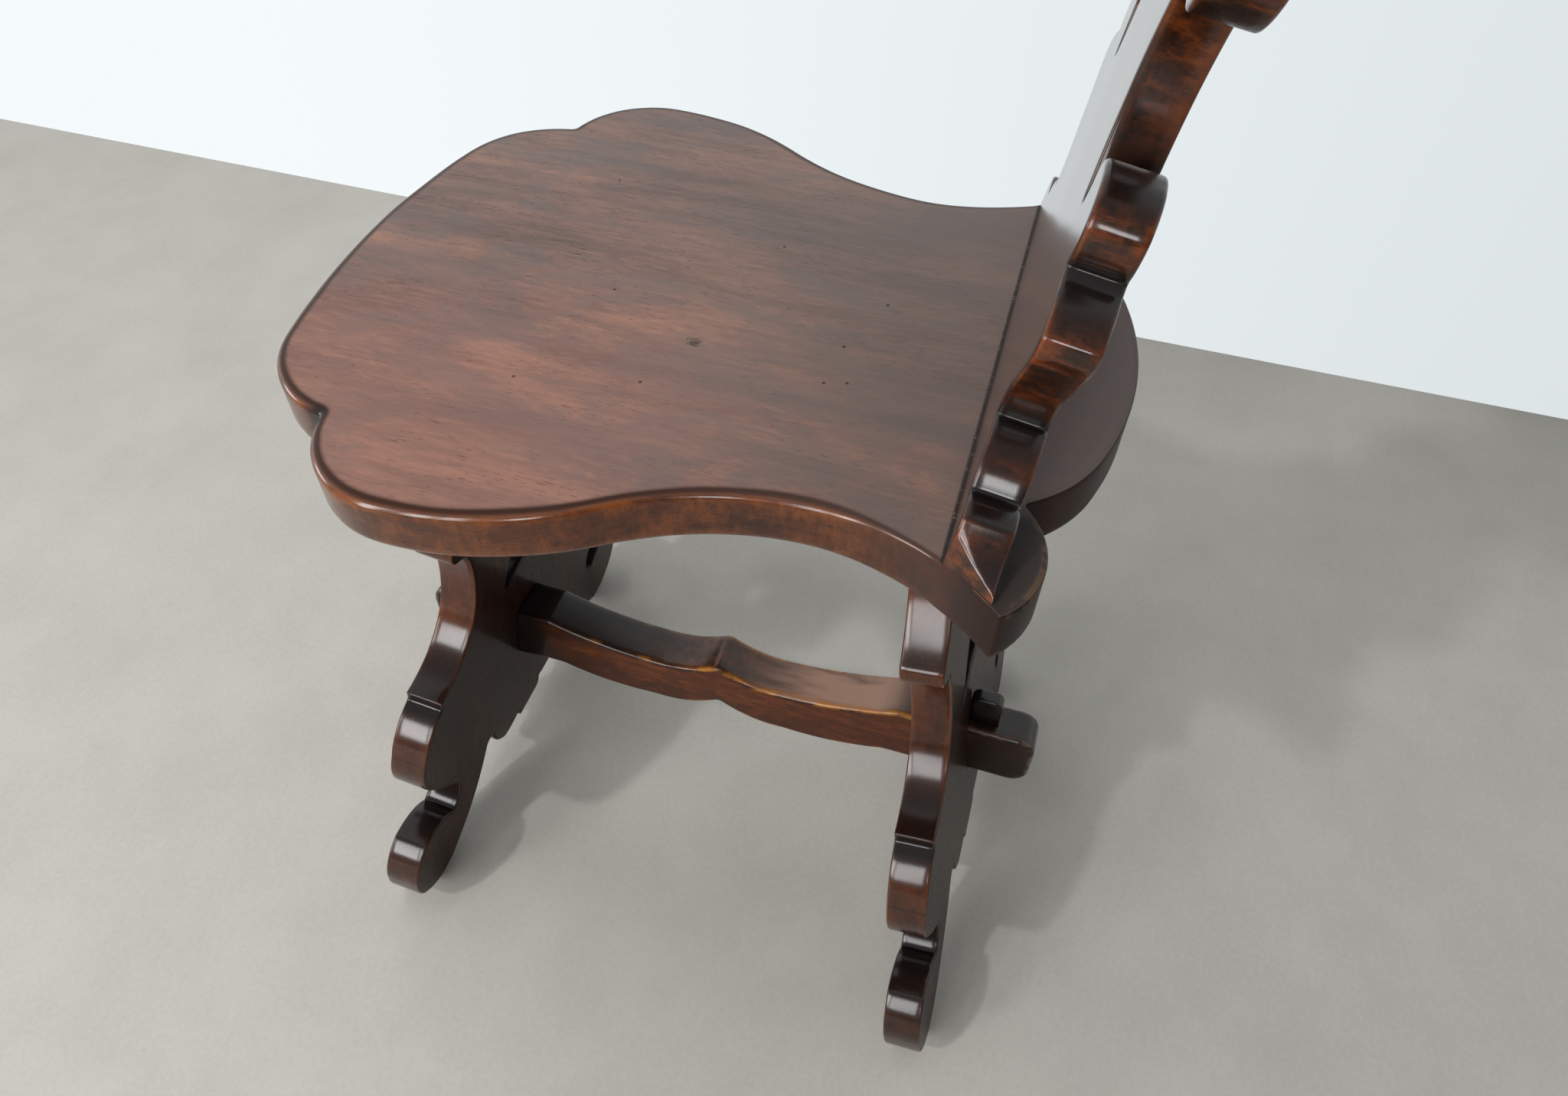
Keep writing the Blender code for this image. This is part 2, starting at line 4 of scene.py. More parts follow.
import bpy
import numpy as np
from mathutils import Matrix, Vector, geometry, noise


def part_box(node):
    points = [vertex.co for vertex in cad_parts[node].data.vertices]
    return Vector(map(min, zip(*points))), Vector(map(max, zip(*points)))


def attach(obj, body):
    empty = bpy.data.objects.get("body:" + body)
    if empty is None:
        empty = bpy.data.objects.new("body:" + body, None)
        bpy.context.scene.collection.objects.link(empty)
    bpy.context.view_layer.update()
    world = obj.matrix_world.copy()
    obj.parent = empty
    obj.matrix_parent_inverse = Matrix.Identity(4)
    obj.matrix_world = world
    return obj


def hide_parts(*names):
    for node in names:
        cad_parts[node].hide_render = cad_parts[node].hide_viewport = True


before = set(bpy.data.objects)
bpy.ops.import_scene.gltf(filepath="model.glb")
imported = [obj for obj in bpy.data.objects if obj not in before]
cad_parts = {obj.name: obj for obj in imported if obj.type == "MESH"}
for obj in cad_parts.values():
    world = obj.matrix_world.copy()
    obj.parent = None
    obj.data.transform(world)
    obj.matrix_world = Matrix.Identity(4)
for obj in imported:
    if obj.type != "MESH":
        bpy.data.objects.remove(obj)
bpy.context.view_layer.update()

# The seat is one walnut plank with its grain running front to back, scroll-sawn round the edge,
# its arrises rubbed to a thumb round. It is pegged down on the legs, and the back is tenoned through it.
SEAT_T = 0.026
SEAT_ARRIS = 0.0044
REAR_ARRIS = 0.0015
CRISP = 0.0004       # arris where a piece is fitted against another
SEAT_FRONT = 0.3295
SEAT_FRONT_BOW = 0.0095
CUSP_X = 0.1325
CUSP_BACK = 0.0560
SEAT_HALF = 0.1750
SEAT_HALF_BACK = 0.1055
WAIST_HALF = 0.1215
WAIST_FORE = 0.0540
EAR_X = 0.1545
EAR_Y = 0.0255
EAR_CUSP_X = 0.0935
SEAT_REAR = 0.0630
EVEN = 0.0006        # spacing of the points that an outline is first measured with
COARSE = 0.0045      # spacing that is kept on straight stretches
TURN = 0.12          # and the turn, in radians, that is kept on round ones
FIT = 0.0003         # gap between pieces that touch
HOLLOW = 0.018       # radius of a hollow that holds about a third of the dirt and painted shade of a sharp one
LIP = 0.0025         # flat strip between an arris and the middle of a face
SILL = 0.0030        # straight strip between an arris and the middle of a sawn edge
FULLY_WORN = 0.0012  # arris that counts as fully worn
FILL = 0.008         # spacing of the points inside a face
FILL_CLEAR = 0.005   # and how far they stay from its edge
WAVY = 0.00020       # how far a planed face wanders over a hand's width
RIPPLE = 0.00004     # and over a finger's width
noise.seed_set(5)    # so that the planed faces wander alike on every run

SEAT_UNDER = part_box("seat")[0].z
SEAT_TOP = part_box("seat")[1].z
BACK_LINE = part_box("seat")[1].y - SEAT_REAR


def arcs(corners):
    """Points along corners (x, y, bulge); bulge is tan(angle / 4) of the arc to the next corner."""
    points = []
    for (x0, y0, bulge), (x1, y1, _) in zip(corners, corners[1:]):
        points.append((x0, y0))
        if abs(bulge) < 1e-6:
            continue
        sweep = 4.0 * math.atan(bulge)
        chord = math.hypot(x1 - x0, y1 - y0)
        radius = abs(chord / (2.0 * math.sin(sweep / 2.0)))
        count = max(4, math.ceil(abs(sweep) * radius / EVEN))
        lift = chord / (2.0 * math.tan(sweep / 2.0))
        cx = (x0 + x1) / 2.0 - (y1 - y0) / chord * lift
        cy = (y0 + y1) / 2.0 + (x1 - x0) / chord * lift
        start = math.atan2(y0 - cy, x0 - cx)
        for i in range(1, count):
            angle = start + sweep * i / count
            points.append((cx + radius * math.cos(angle), cy + radius * math.sin(angle)))
    points.append(corners[-1][:2])
    return points


def both_sides(half):
    """The whole outline from its right half, which starts and ends on x = 0."""
    return half + [(-x, y) for x, y in half[-2:0:-1]]


def blurred(values, spacing, reach):
    """Values round a closed outline, each averaged with its neighbours within about reach."""
    turns = np.fft.fftfreq(len(values), spacing)
    keep = np.exp(-2.0 * (math.pi * turns * reach) ** 2)
    keep = keep.reshape((-1,) + (1,) * (values.ndim - 1))
    return np.fft.ifft(np.fft.fft(values, axis=0) * keep, axis=0).real


def rubbed(outline, soften):
    """The outline as evenly spaced points, with its corners rubbed round."""
    loop = np.array(outline + outline[:1])
    along = np.concatenate(([0.0], np.cumsum(np.linalg.norm(np.diff(loop, axis=0), axis=1))))
    count = round(along[-1] / EVEN)
    places = np.arange(count) * along[-1] / count
    even = np.stack([np.interp(places, along, loop[:, k]) for k in (0, 1)], axis=1)
    return blurred(even, EVEN, soften)


def ball_radius(points, inward, others):
    """Radius of the largest ball that touches the outline at each point from the inward side."""
    room = np.ones(len(points))
    for rows in np.array_split(np.arange(len(points)), len(points) // 300 + 1):
        gap = others[None, :, :] - points[rows, None, :]
        across = (gap * inward[rows, None, :]).sum(axis=2)
        ball = (gap ** 2).sum(axis=2) / (2.0 * np.maximum(across, 1e-8))
        room[rows] = np.minimum(1.0, np.where(across > 1e-8, ball, 1.0).min(axis=1))
    return room


def within(points, loop):
    """Which points lie inside a closed outline."""
    x, y = points[:, :1], points[:, 1:]
    x0, y0 = loop.T
    x1, y1 = np.roll(loop, -1, axis=0).T
    rise = np.where(y1 == y0, 1e-12, y1 - y0)
    crossed = ((y0 > y) != (y1 > y)) & (x < x0 + (y - y0) * (x1 - x0) / rise)
    return crossed.sum(axis=1) % 2 == 1


def smooth_step(value, low, high):
    share = np.clip((value - low) / (high - low), 0.0, 1.0)
    return share * share * (3.0 - 2.0 * share)


def plank(name, outlines, thickness, arris, place, shape=None, soften=0.0008, seed=0.0,
          coarse=COARSE, layers=1):
    """A board with rubbed arrises: the outer outline, then its openings, in local XY, with the
    thickness centred on local Z. The mesh keeps how worn an arris is and how deep a hollow."""
    loops = [rubbed(outline, soften) for outline in outlines]
    loops[1:] = [loop[::-1] for loop in loops[1:]]
    everything = np.concatenate(loops)
    angles = [math.radians(a) for a in (0.0, 22.5, 45.0, 67.5, 90.0)]
    wear = (0.35, 0.8, 1.0, 0.8, 0.35)
    verts, faces, worn, hollow = [], [], [], []
    cap_points, cap_edges, cap_rings, cap_loops = [], [], [], []
    for loop in loops:
        ahead = np.roll(loop, -1, axis=0) - np.roll(loop, 1, axis=0)
        ahead /= np.linalg.norm(ahead, axis=1)[:, None]
        inward = np.stack([-ahead[:, 1], ahead[:, 0]], axis=1)
        room = ball_radius(loop, inward, everything)
        recess = np.exp(-ball_radius(loop, -inward, everything) / HOLLOW)
        rub = np.array([1.0 + 0.25 * noise.noise((25.0 * x, 25.0 * y, seed)) for x, y in loop])
        wanted = arris(loop) if callable(arris) else np.full(len(loop), arris)
        radius = blurred(np.minimum(wanted * rub, 0.72 * room), EVEN, 0.0012)
        radius = np.clip(np.minimum(radius, 0.8 * room), 0.00005, 0.45 * thickness)
        bend = np.abs((np.roll(ahead, -1, axis=0) - ahead)).sum(axis=1)
        kept = np.floor(np.cumsum(EVEN / coarse + bend / TURN))
        kept = np.flatnonzero(np.diff(kept, prepend=-1.0))
        count = len(kept)
        base, inside = loop[kept], inward[kept]
        r, space = radius[kept][:, None], room[kept][:, None]
        lip = np.minimum(0.6 * (space - r), LIP)
        below = np.minimum(SILL, 0.6 * (thickness / 2.0 - r))
        wall = thickness / 2.0 - r - below
        half = [(r * (1.0 - math.cos(a)), thickness / 2.0 - r * (1.0 - math.sin(a)), w)
                for a, w in zip(angles, wear)]
        half = [(0.0 * r, wall, 0.0)] + half + [(r + lip, thickness / 2.0 + 0.0 * r, 0.0)]
        middle = [(0.0 * r, wall * t, 0.0) for t in np.linspace(-1.0, 1.0, layers + 2)[1:-1]]
        rings = [(d, -z, w) for d, z, w in half[::-1]] + middle + half
        first = len(verts)
        for depth, height, w in rings:
            verts.extend(np.concatenate([base + inside * depth, height], axis=1))
            worn.extend(w * np.minimum(1.0, r[:, 0] / FULLY_WORN))
            on_edge = np.clip(1.0 - depth[:, 0] / (r + lip)[:, 0], 0.0, 1.0)
            hollow.extend(recess[kept] * on_edge)
        for k in range(len(rings) - 1):
            for i in range(count):
                j = (i + 1) % count
                lower, upper = first + k * count, first + (k + 1) * count
                faces.append((lower + i, lower + j, upper + j, upper + i))
        ring_start = len(cap_points)
        cap_loops.append(base + inside * (r + lip))
        cap_points.extend(cap_loops[-1])
        cap_edges.extend((ring_start + i, ring_start + (i + 1) % count) for i in range(count))
        cap_rings.extend((first + i, first + (len(rings) - 1) * count + i) for i in range(count))
    edge = np.array(cap_points)
    low, high = edge.min(axis=0), edge.max(axis=0)
    grid = np.meshgrid(np.arange(low[0], high[0], FILL), np.arange(low[1], high[1], FILL))
    grid = np.stack(grid, axis=2).reshape(-1, 2)
    grid = grid[within(grid, loops[0])]
    for opening in loops[1:]:
        grid = grid[~within(grid, opening)]
    clear = np.array([np.min(np.sum((edge - spot) ** 2, axis=1)) for spot in grid]) > FILL_CLEAR ** 2
    for x, y in grid[clear]:
        cap_rings.append((len(verts), len(verts) + 1))
        cap_points.append((x, y))
        verts.extend([(x, y, -thickness / 2.0), (x, y, thickness / 2.0)])
        worn.extend([0.0, 0.0])
        hollow.extend([0.0, 0.0])
    flat = [Vector(p) for p in cap_points]
    spread, _, fill, source, _, _ = geometry.delaunay_2d_cdt(flat, cap_edges, [], 0, 1e-9, True)
    middles = np.array([np.mean([spread[v] for v in face], axis=0) for face in fill])
    wood = within(middles, cap_loops[0])
    for opening in cap_loops[1:]:
        wood &= ~within(middles, opening)
    for k in np.flatnonzero(wood):
        ids = [cap_rings[source[v][0]] for v in fill[k]]
        faces.append(tuple(top for _, top in ids))
        faces.append(tuple(bottom for bottom, _ in ids)[::-1])
    points = np.array(verts)
    if shape:
        points = shape(points)
    for i, (x, y, z) in enumerate(points):
        broad = noise.noise_vector((18.0 * x + seed, 12.0 * y, 18.0 * z))
        fine = noise.noise_vector((85.0 * x, 60.0 * y + seed, 85.0 * z))
        points[i] += WAVY * np.array(broad) + RIPPLE * np.array(fine)
    mesh = bpy.data.meshes.new(name)
    mesh.from_pydata(points.tolist(), [], faces)
    for label, values in (("worn", worn), ("hollow", hollow)):
        wear_map = mesh.attributes.new(label, "FLOAT", "POINT")
        wear_map.data.foreach_set("value", np.array(values, np.float32))
    made = bpy.data.objects.new(name, mesh)
    bpy.context.scene.collection.objects.link(made)
    made.matrix_world = place
    return finish_shading(made)


def finish_shading(piece):
    piece.data.shade_smooth()
    piece.data.set_sharp_from_angle(angle=math.radians(40.0))
    return piece


def chop(piece, low, high, place=Matrix.Identity(4)):
    """Chops a square hole between two corners of a local frame out of a piece."""
    cutter = bpy.data.meshes.new("chisel")
    corners = list(itertools.product(*zip(low, high)))
    sides = [(0, 1, 3, 2), (4, 6, 7, 5), (0, 4, 5, 1), (2, 3, 7, 6), (0, 2, 6, 4), (1, 5, 7, 3)]
    cutter.from_pydata(corners, [], sides)
    chisel = bpy.data.objects.new("chisel", cutter)
    bpy.context.scene.collection.objects.link(chisel)
    chisel.matrix_world = place
    cut = piece.modifiers.new("hole", "BOOLEAN")
    cut.operation = "DIFFERENCE"
    cut.solver = "EXACT"
    cut.object = chisel
    bpy.context.view_layer.update()
    whole = piece.data
    holed = piece.evaluated_get(bpy.context.evaluated_depsgraph_get())
    piece.data = bpy.data.meshes.new_from_object(holed)
    piece.data.name = piece.name
    piece.modifiers.clear()
    bpy.data.meshes.remove(whole)
    bpy.data.objects.remove(chisel)
    bpy.data.meshes.remove(cutter)
    return finish_shading(piece)


class Wire:
    """A socket of a material's nodes; arithmetic on it adds Math nodes."""

    def __init__(self, tree, socket=None):
        self.tree = tree
        self.socket = socket

    def node(self, kind, settings, sockets, output=0):
        """Adds a node: its settings first, then the values or wires of its sockets."""
        made = self.tree.nodes.new("ShaderNode" + kind)
        for name, value in settings.items():
            if name == "stops":
                for _ in range(len(value) - len(made.color_ramp.elements)):
                    made.color_ramp.elements.new(1.0)
                for stop, (spot, colour) in zip(made.color_ramp.elements, value):
                    stop.position = spot
                    stop.color = (*colour, 1.0)
            else:
                setattr(made, name, value)
        for name, value in sockets.items():
            if isinstance(value, Wire):
                self.tree.links.new(value.socket, made.inputs[name])
            else:
                made.inputs[name].default_value = value
        return Wire(self.tree, made.outputs[output])

    def math(self, operation, *values):
        return self.node("Math", {"operation": operation}, dict(enumerate(values)))

    def __add__(self, other):
        return self.math("ADD", self, other)

    def __mul__(self, other):
        return self.math("MULTIPLY", self, other)

    def __sub__(self, other):
        return self.math("SUBTRACT", self, other)

    def __rsub__(self, other):
        return self.math("SUBTRACT", other, self)

    def __truediv__(self, other):
        return self.math("DIVIDE", self, other)

    def __pow__(self, other):
        return self.math("POWER", self, other)

    __radd__ = __add__
    __rmul__ = __mul__

    def between(self, low, high):
        """0 below low, 1 above high, and smooth between them."""
        return self.node("MapRange", {"interpolation_type": "SMOOTHSTEP"},
                         {"Value": self, "From Min": low, "From Max": high})

    def tint(self, plain, painted):
        """The colour that goes from plain to painted as this mask goes from 0 to 1."""
        def ready(colour):
            return colour if isinstance(colour, Wire) else (*colour, 1.0)
        return self.node("Mix", {"data_type": "RGBA"}, {0: self, 6: ready(plain), 7: ready(painted)}, 2)


def stained_wood(name, grain, face, wall, amber, shift=0.0, bare=0.5, matt=0.0, satin=0.1,
                 clean_and_unshaded=0.15, marks=None):
    """Old stained walnut under rubbed shellac: grain is the local axis it runs along, face and wall the
    stops of the plank's faces and sawn edges, amber the wood where the edges' stain is rubbed off and bare
    how much of it is, shift where the figure starts, matt how dull the faces are, satin the shine of the
    wood itself, clean how deep a hollow stays free of dirt and painted shade, and marks paints further
    marks on a plank's own colour, roughness and gloss."""
    made = bpy.data.materials.new(name)
    made.use_nodes = True
    tree = made.node_tree
    shader = tree.nodes["Principled BSDF"]
    wire = Wire(tree)
    spot = wire.node("TexCoord", {}, {}, "Object")
    facing = wire.node("TexCoord", {}, {}, "Normal")
    worn = wire.node("Attribute", {"attribute_name": "worn"}, {}, "Fac")
    hollow = wire.node("Attribute", {"attribute_name": "hollow"}, {}, "Fac")

    def figure(width, length, detail=3.0, roughness=0.55, distortion=0.0, axis=grain):
        """Noise drawn out along the grain or another axis, in metres across and along."""
        scale = [1.0 / width] * 3
        scale["XYZ".index(axis)] = 1.0 / length
        stretched = wire.node("VectorMath", {"operation": "MULTIPLY_ADD"},
                              {0: spot, 1: scale, 2: (shift, 2.0 * shift, 3.0 * shift)})
        return wire.node("TexNoise", {}, {"Vector": stretched, "Scale": 1.0, "Detail": detail,
                                          "Roughness": roughness, "Distortion": distortion}, "Fac")

    def along(axis):
        """How squarely the surface faces along a local axis, from 0 to 1."""
        dot = wire.node("VectorMath", {"operation": "DOT_PRODUCT"}, {0: facing, 1: axis}, "Value")
        return dot.math("ABSOLUTE", dot)

    end = along([1.0 if letter == grain else 0.0 for letter in "XYZ"]).between(0.50, 0.92)
    flat = along((0.0, 0.0, 1.0)).between(0.60, 0.97)
    drift = figure(0.060, 0.170, 2.0, 0.5, 0.4)
    streak = figure(0.011, 0.090, 4.0, 0.6, 0.7)
    fine = figure(0.0018, 0.015, 5.0, 0.8, 0.6)
    pores = figure(0.0006, 0.0055, 1.0, 0.4).between(0.63, 0.72)
    rub = figure(0.014, 0.030, 4.0, 0.65)
    mottle = figure(0.0045, 0.014, 5.0, 0.7, 0.5, "Z")
    tone = 0.62 * drift + 0.48 * streak + 0.60 * fine - 0.35

    def stops(colours):
        """Four colours, from the darkest figure of the wood to the palest."""
        spread = list(zip((0.30, 0.44, 0.56, 0.70), colours))
        return wire.node("ValToRGB", {"stops": spread}, {"Fac": tone})

    colour = flat.tint(stops(wall), stops(face))
    slate = figure(0.012, 0.110, 5.0, 0.75, 0.9).between(0.48, 0.68)
    colour = (0.35 * slate * flat).tint(colour, [0.6 * c for c in face[1]])
    bared = (0.45 * rub + 0.55 * mottle).between(0.44, 0.62)
    bared = bared * (1.0 - end) * (1.0 - flat) * (1.0 - hollow)
    colour = (bare * bared).tint(colour, amber)
    speckle = figure(0.0012, 0.0012, 2.0, 0.5).between(0.35, 0.70)
    colour = (end * (0.97 - 0.25 * speckle)).tint(colour, (0.006, 0.0030, 0.0022))
    colour = (0.75 * pores * rub.between(0.42, 0.60)).tint(colour, (0.014, 0.007, 0.005))
    edge = worn * rub.between(0.30, 0.60) * (1.0 - 0.8 * end)
    colour = (worn.between(0.0, 0.4) * flat).tint(colour, wall[1])
    colour = (0.45 * edge * (1.0 - flat)).tint(colour, [1.5 * c for c in amber])
    # Hollows are darkened almost to black: dirt, and painted shade where little light reaches into them.
    grime_and_shade = hollow.between(clean_and_unshaded, clean_and_unshaded + 0.5)
    colour = (0.92 * grime_and_shade).tint(colour, (0.004, 0.003, 0.0025))
    rough = 0.34 + 0.12 * drift + 0.20 * pores + 0.25 * grime_and_shade
    gloss = 0.82 - matt * flat
    if marks:
        colour, rough, gloss = marks(wire, spot, flat, worn, figure, colour, rough, gloss)
    tree.links.new(colour.socket, shader.inputs["Base Color"])
    tree.links.new(rough.socket, shader.inputs["Roughness"])
    height = 0.5 * fine + 0.25 * streak - 0.7 * pores + 0.20 * rub
    bump = wire.node("Bump", {}, {"Strength": 0.16, "Distance": 0.0004, "Height": height})
    tree.links.new(bump.socket, shader.inputs["Normal"])
    tree.links.new(gloss.socket, shader.inputs["Coat Weight"])
    shader.inputs["Specular IOR Level"].default_value = satin
    shader.inputs["Coat Roughness"].default_value = 0.16
    return made


bow_x = 0.67 * CUSP_X
bow_y = SEAT_FRONT_BOW - SEAT_FRONT
cusp_y = CUSP_BACK - SEAT_FRONT
wide_y = SEAT_HALF_BACK - SEAT_FRONT
bow_turn = 2.0 * math.atan(SEAT_FRONT_BOW / bow_x)
corner_turn = math.atan2(cusp_y - bow_y, CUSP_X - bow_x) - bow_turn
lobe_turn = math.pi / 2.0 - math.atan2(wide_y - cusp_y, SEAT_HALF - CUSP_X)
side_turn = math.atan2(SEAT_HALF - WAIST_HALF, -WAIST_FORE - wide_y)
side_mid = ((SEAT_HALF + WAIST_HALF) / 2.0, (wide_y - WAIST_FORE) / 2.0)
ear_turn = math.atan2(EAR_X - WAIST_HALF, EAR_Y + WAIST_FORE)
rear_mid = (0.62 * EAR_CUSP_X, EAR_Y + 0.74 * (SEAT_REAR - EAR_Y))
rear_turn = math.atan2(SEAT_REAR - rear_mid[1], rear_mid[0])
rear_side_turn = math.pi - 2.0 * rear_turn - math.atan2(rear_mid[1] - EAR_Y, rear_mid[0] - EAR_CUSP_X)
seat_outline = both_sides(arcs([
    (0.0, -SEAT_FRONT, math.tan(bow_turn / 4.0)),
    (bow_x, bow_y, math.tan(corner_turn / 2.0)),
    (CUSP_X, cusp_y, math.tan(lobe_turn / 2.0)),
    (SEAT_HALF, wide_y, math.tan(side_turn / 2.0)),
    (*side_mid, -math.tan(side_turn / 2.0)),
    (WAIST_HALF, -WAIST_FORE, -math.tan(ear_turn / 2.0)),
    (EAR_X, EAR_Y, 0.44),
    (EAR_CUSP_X, EAR_Y, math.tan(rear_side_turn / 2.0)),
    (*rear_mid, math.tan(rear_turn / 2.0)),
    (0.0, SEAT_REAR, 0.0),
]))


def seat_arris(loop):
    """A full round in front, tighter toward the back, and crisp where the back's ears stand on it."""
    y = loop[:, 1]
    round_front = REAR_ARRIS + (SEAT_ARRIS - REAR_ARRIS) * (1.0 - smooth_step(y, -0.060, -0.006))
    return np.where((y > -0.001) & (y < EAR_Y), CRISP, round_front)


seat = plank("seat_plank", [seat_outline], SEAT_T, seat_arris,
             Matrix.Translation((0.0, BACK_LINE, SEAT_TOP - SEAT_T / 2.0)), soften=0.0012, seed=1.0)
# The seat's face colours are its own stained walnut greyed with a painted sheen, as if the room reflected
# in it.
seat_face_and_sheen = [(0.090, 0.054, 0.045), (0.155, 0.085, 0.067), (0.225, 0.116, 0.085), (0.320, 0.155, 0.104)]
seat_wall = [(0.010, 0.0022, 0.0006), (0.028, 0.0065, 0.0010),
             (0.052, 0.012, 0.0016), (0.095, 0.024, 0.003)]
KNOT = (0.0364, -0.1371)
KNOT_HALF = (0.0040, 0.0050)
WORM_HOLES = [(0.010, -0.188), (0.018, -0.070), (0.043, -0.062), (0.046, -0.072), (-0.052, -0.120),
              (0.071, -0.150), (-0.020, -0.058), (0.085, -0.205), (-0.085, -0.225)]
WORM_R = 0.0009
SEAM_W = 0.0006
SEAM_REACH = 0.135


def seat_marks(wire, spot, flat, worn, figure, colour, rough, gloss):
    """Slate, russet and rosy patches in the old polish, a painted grey sheen toward the far side and the
    back, a top that darkens toward the back and a painted pale sheen behind it, black ears with scratched
    arrises, a ragged knot, worm holes, and the dusty seam before the back."""
    x = wire.node("SeparateXYZ", {}, {"Vector": spot}, 0)
    y = wire.node("SeparateXYZ", {}, {"Vector": spot}, 1)
    top = flat * (1.0 - worn.between(0.0, 0.4))
    slate = figure(0.040, 0.095, 7.0, 0.68, 0.5).between(0.48, 0.58)
    colour = (0.50 * slate * top).tint(colour, (0.106, 0.088, 0.085))
    russet = figure(0.024, 0.105, 6.0, 0.65, 0.4).between(0.48, 0.66)
    colour = (0.22 * russet * top).tint(colour, (0.255, 0.128, 0.088))
    # The top darkens toward the back.
    colour = (0.45 * y.between(-0.150, -0.010) * flat).tint(colour, (0.060, 0.036, 0.029))
    # Painted sheen: the top is greyed toward the far side and toward the back.
    grey = 0.6 * (1.0 - x.between(-0.10, 0.10)) + 0.6 * y.between(-0.250, -0.050)
    colour = (0.38 * grey * top).tint(colour, (0.118, 0.103, 0.094))
    rosy = x.between(-0.02, 0.12) * (1.0 - y.between(-0.200, -0.060))
    colour = (0.30 * rosy * top).tint(colour, (0.250, 0.108, 0.084))
    colour = (0.80 * y.between(-0.060, 0.010) * (1.0 - flat)).tint(colour, (0.024, 0.007, 0.004))
    # Painted sheen: behind the back the top is lightened to a pale grey.
    colour = (0.60 * y.between(0.0, 0.020) * flat).tint(colour, (0.270, 0.220, 0.205))
    ear = x.math("ABSOLUTE", x).between(EAR_CUSP_X - 0.006, EAR_CUSP_X + 0.012)
    ear = ear * y.between(0.0, 0.010)
    colour = (0.90 * ear * flat).tint(colour, (0.011, 0.008, 0.007))
    colour = (0.65 * ear * (1.0 - flat)).tint(colour, (0.008, 0.003, 0.002))
    scratched = ear * worn.between(0.08, 0.30) * figure(0.008, 0.008).between(0.46, 0.60)
    colour = (0.25 * scratched).tint(colour, (0.230, 0.115, 0.040))
    away = ((x - KNOT[0]) / KNOT_HALF[0]) ** 2.0 + ((y - KNOT[1]) / KNOT_HALF[1]) ** 2.0
    ragged = figure(0.0016, 0.0024, 4.0, 0.8)
    holes = 0.9 * (ragged - 0.22 * away).between(0.34, 0.52)
    for hole_x, hole_y in WORM_HOLES:
        away = (x - hole_x) ** 2.0 + (y - hole_y) ** 2.0
        holes = holes + (1.0 - (away / WORM_R ** 2.0).between(0.5, 1.3))
    colour = (0.85 * holes * top).tint(colour, (0.010, 0.007, 0.006))
    line = y.between(-SEAM_W - 0.0012, -SEAM_W) * (1.0 - y.between(0.0, 0.0012))
    line = line * (1.0 - x.math("ABSOLUTE", x).between(SEAM_REACH, SEAM_REACH + 0.001)) * flat
    dust = figure(0.0012, 0.0012, 2.0, 0.5).between(0.62, 0.70)
    colour = (0.95 * line).tint(colour, (0.012, 0.009, 0.008))
    colour = (0.55 * line * dust).tint(colour, (0.20, 0.18, 0.16))
    rear = y.between(-0.010, 0.030)
    return colour, rough + 0.3 * line + 0.25 * rear, gloss * (1.0 - 0.70 * rear * (1.0 - ear * flat))


seat.data.materials.append(stained_wood("seat_walnut", "Y", seat_face_and_sheen, seat_wall, (0.135, 0.036, 0.005),
                                        bare=0.6, matt=0.50, satin=0.10, marks=seat_marks))
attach(seat, "chair")
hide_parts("seat")

# The legs are two scroll-sawn walnut planks, the same pattern front and rear, splayed apart.
# Their tops meet the seat's underside, held by three pegs each, and a bell is pierced through each.
LEG_T = 0.0235
LEG_ARRIS = 0.0013
FRONT_LEAN = math.radians(8.9)
REAR_LEAN = math.radians(7.8)
FRONT_LEG_BACK = 0.0805
REAR_LEG_FORE = 0.0294
PENDANT_HALF = 0.0420
ARCH_HALF = 0.0645
ARCH_ROUND = 0.0045
FOOT_HALF = 0.1755
FOOT_W = 0.0415
NOTCH_HALF = 0.1130
LOBE_HALF = 0.1440
LEDGE_HALF = 0.1180
LEDGE_SLOPE = 0.0060
NECK_HALF = 0.0670
LIP_HALF = 0.0870
UPPER_NECK_HALF = 0.0550
FLANGE_HALF = 0.1150
FLANGE_DEPTH = 0.0160
PIERCE_HALF = 0.0300
PIERCE_BOTTOM = 0.2110
PIERCE_H = 0.0830
BAR_TOP = 0.1640
BAR_H = 0.0470
TUSK_W = 0.0260
CHISEL_PAST = 0.05   # how far the mortise chisel runs past both faces
LEGS = {"front": (FRONT_LEG_BACK - SEAT_FRONT, FRONT_LEAN, -1), "rear": (-REAR_LEG_FORE, REAR_LEAN, 1)}


def turned(x_axis, y_axis, origin):
    """The placement whose local X and Y point along the two given directions."""
    x = Vector(x_axis).normalized()
    z = x.cross(Vector(y_axis)).normalized()
    placed = Matrix((x, z.cross(x), z)).transposed().to_4x4()
    placed.translation = Vector(origin)
    return placed


def inner_face_y(inner_y, lean, side, z):
    return BACK_LINE + inner_y + side * (SEAT_UNDER - z) * math.tan(lean)


def outer_face_y(inner_y, lean, side, z):
    return inner_face_y(inner_y, lean, side, z) + side * LEG_T / math.cos(lean)


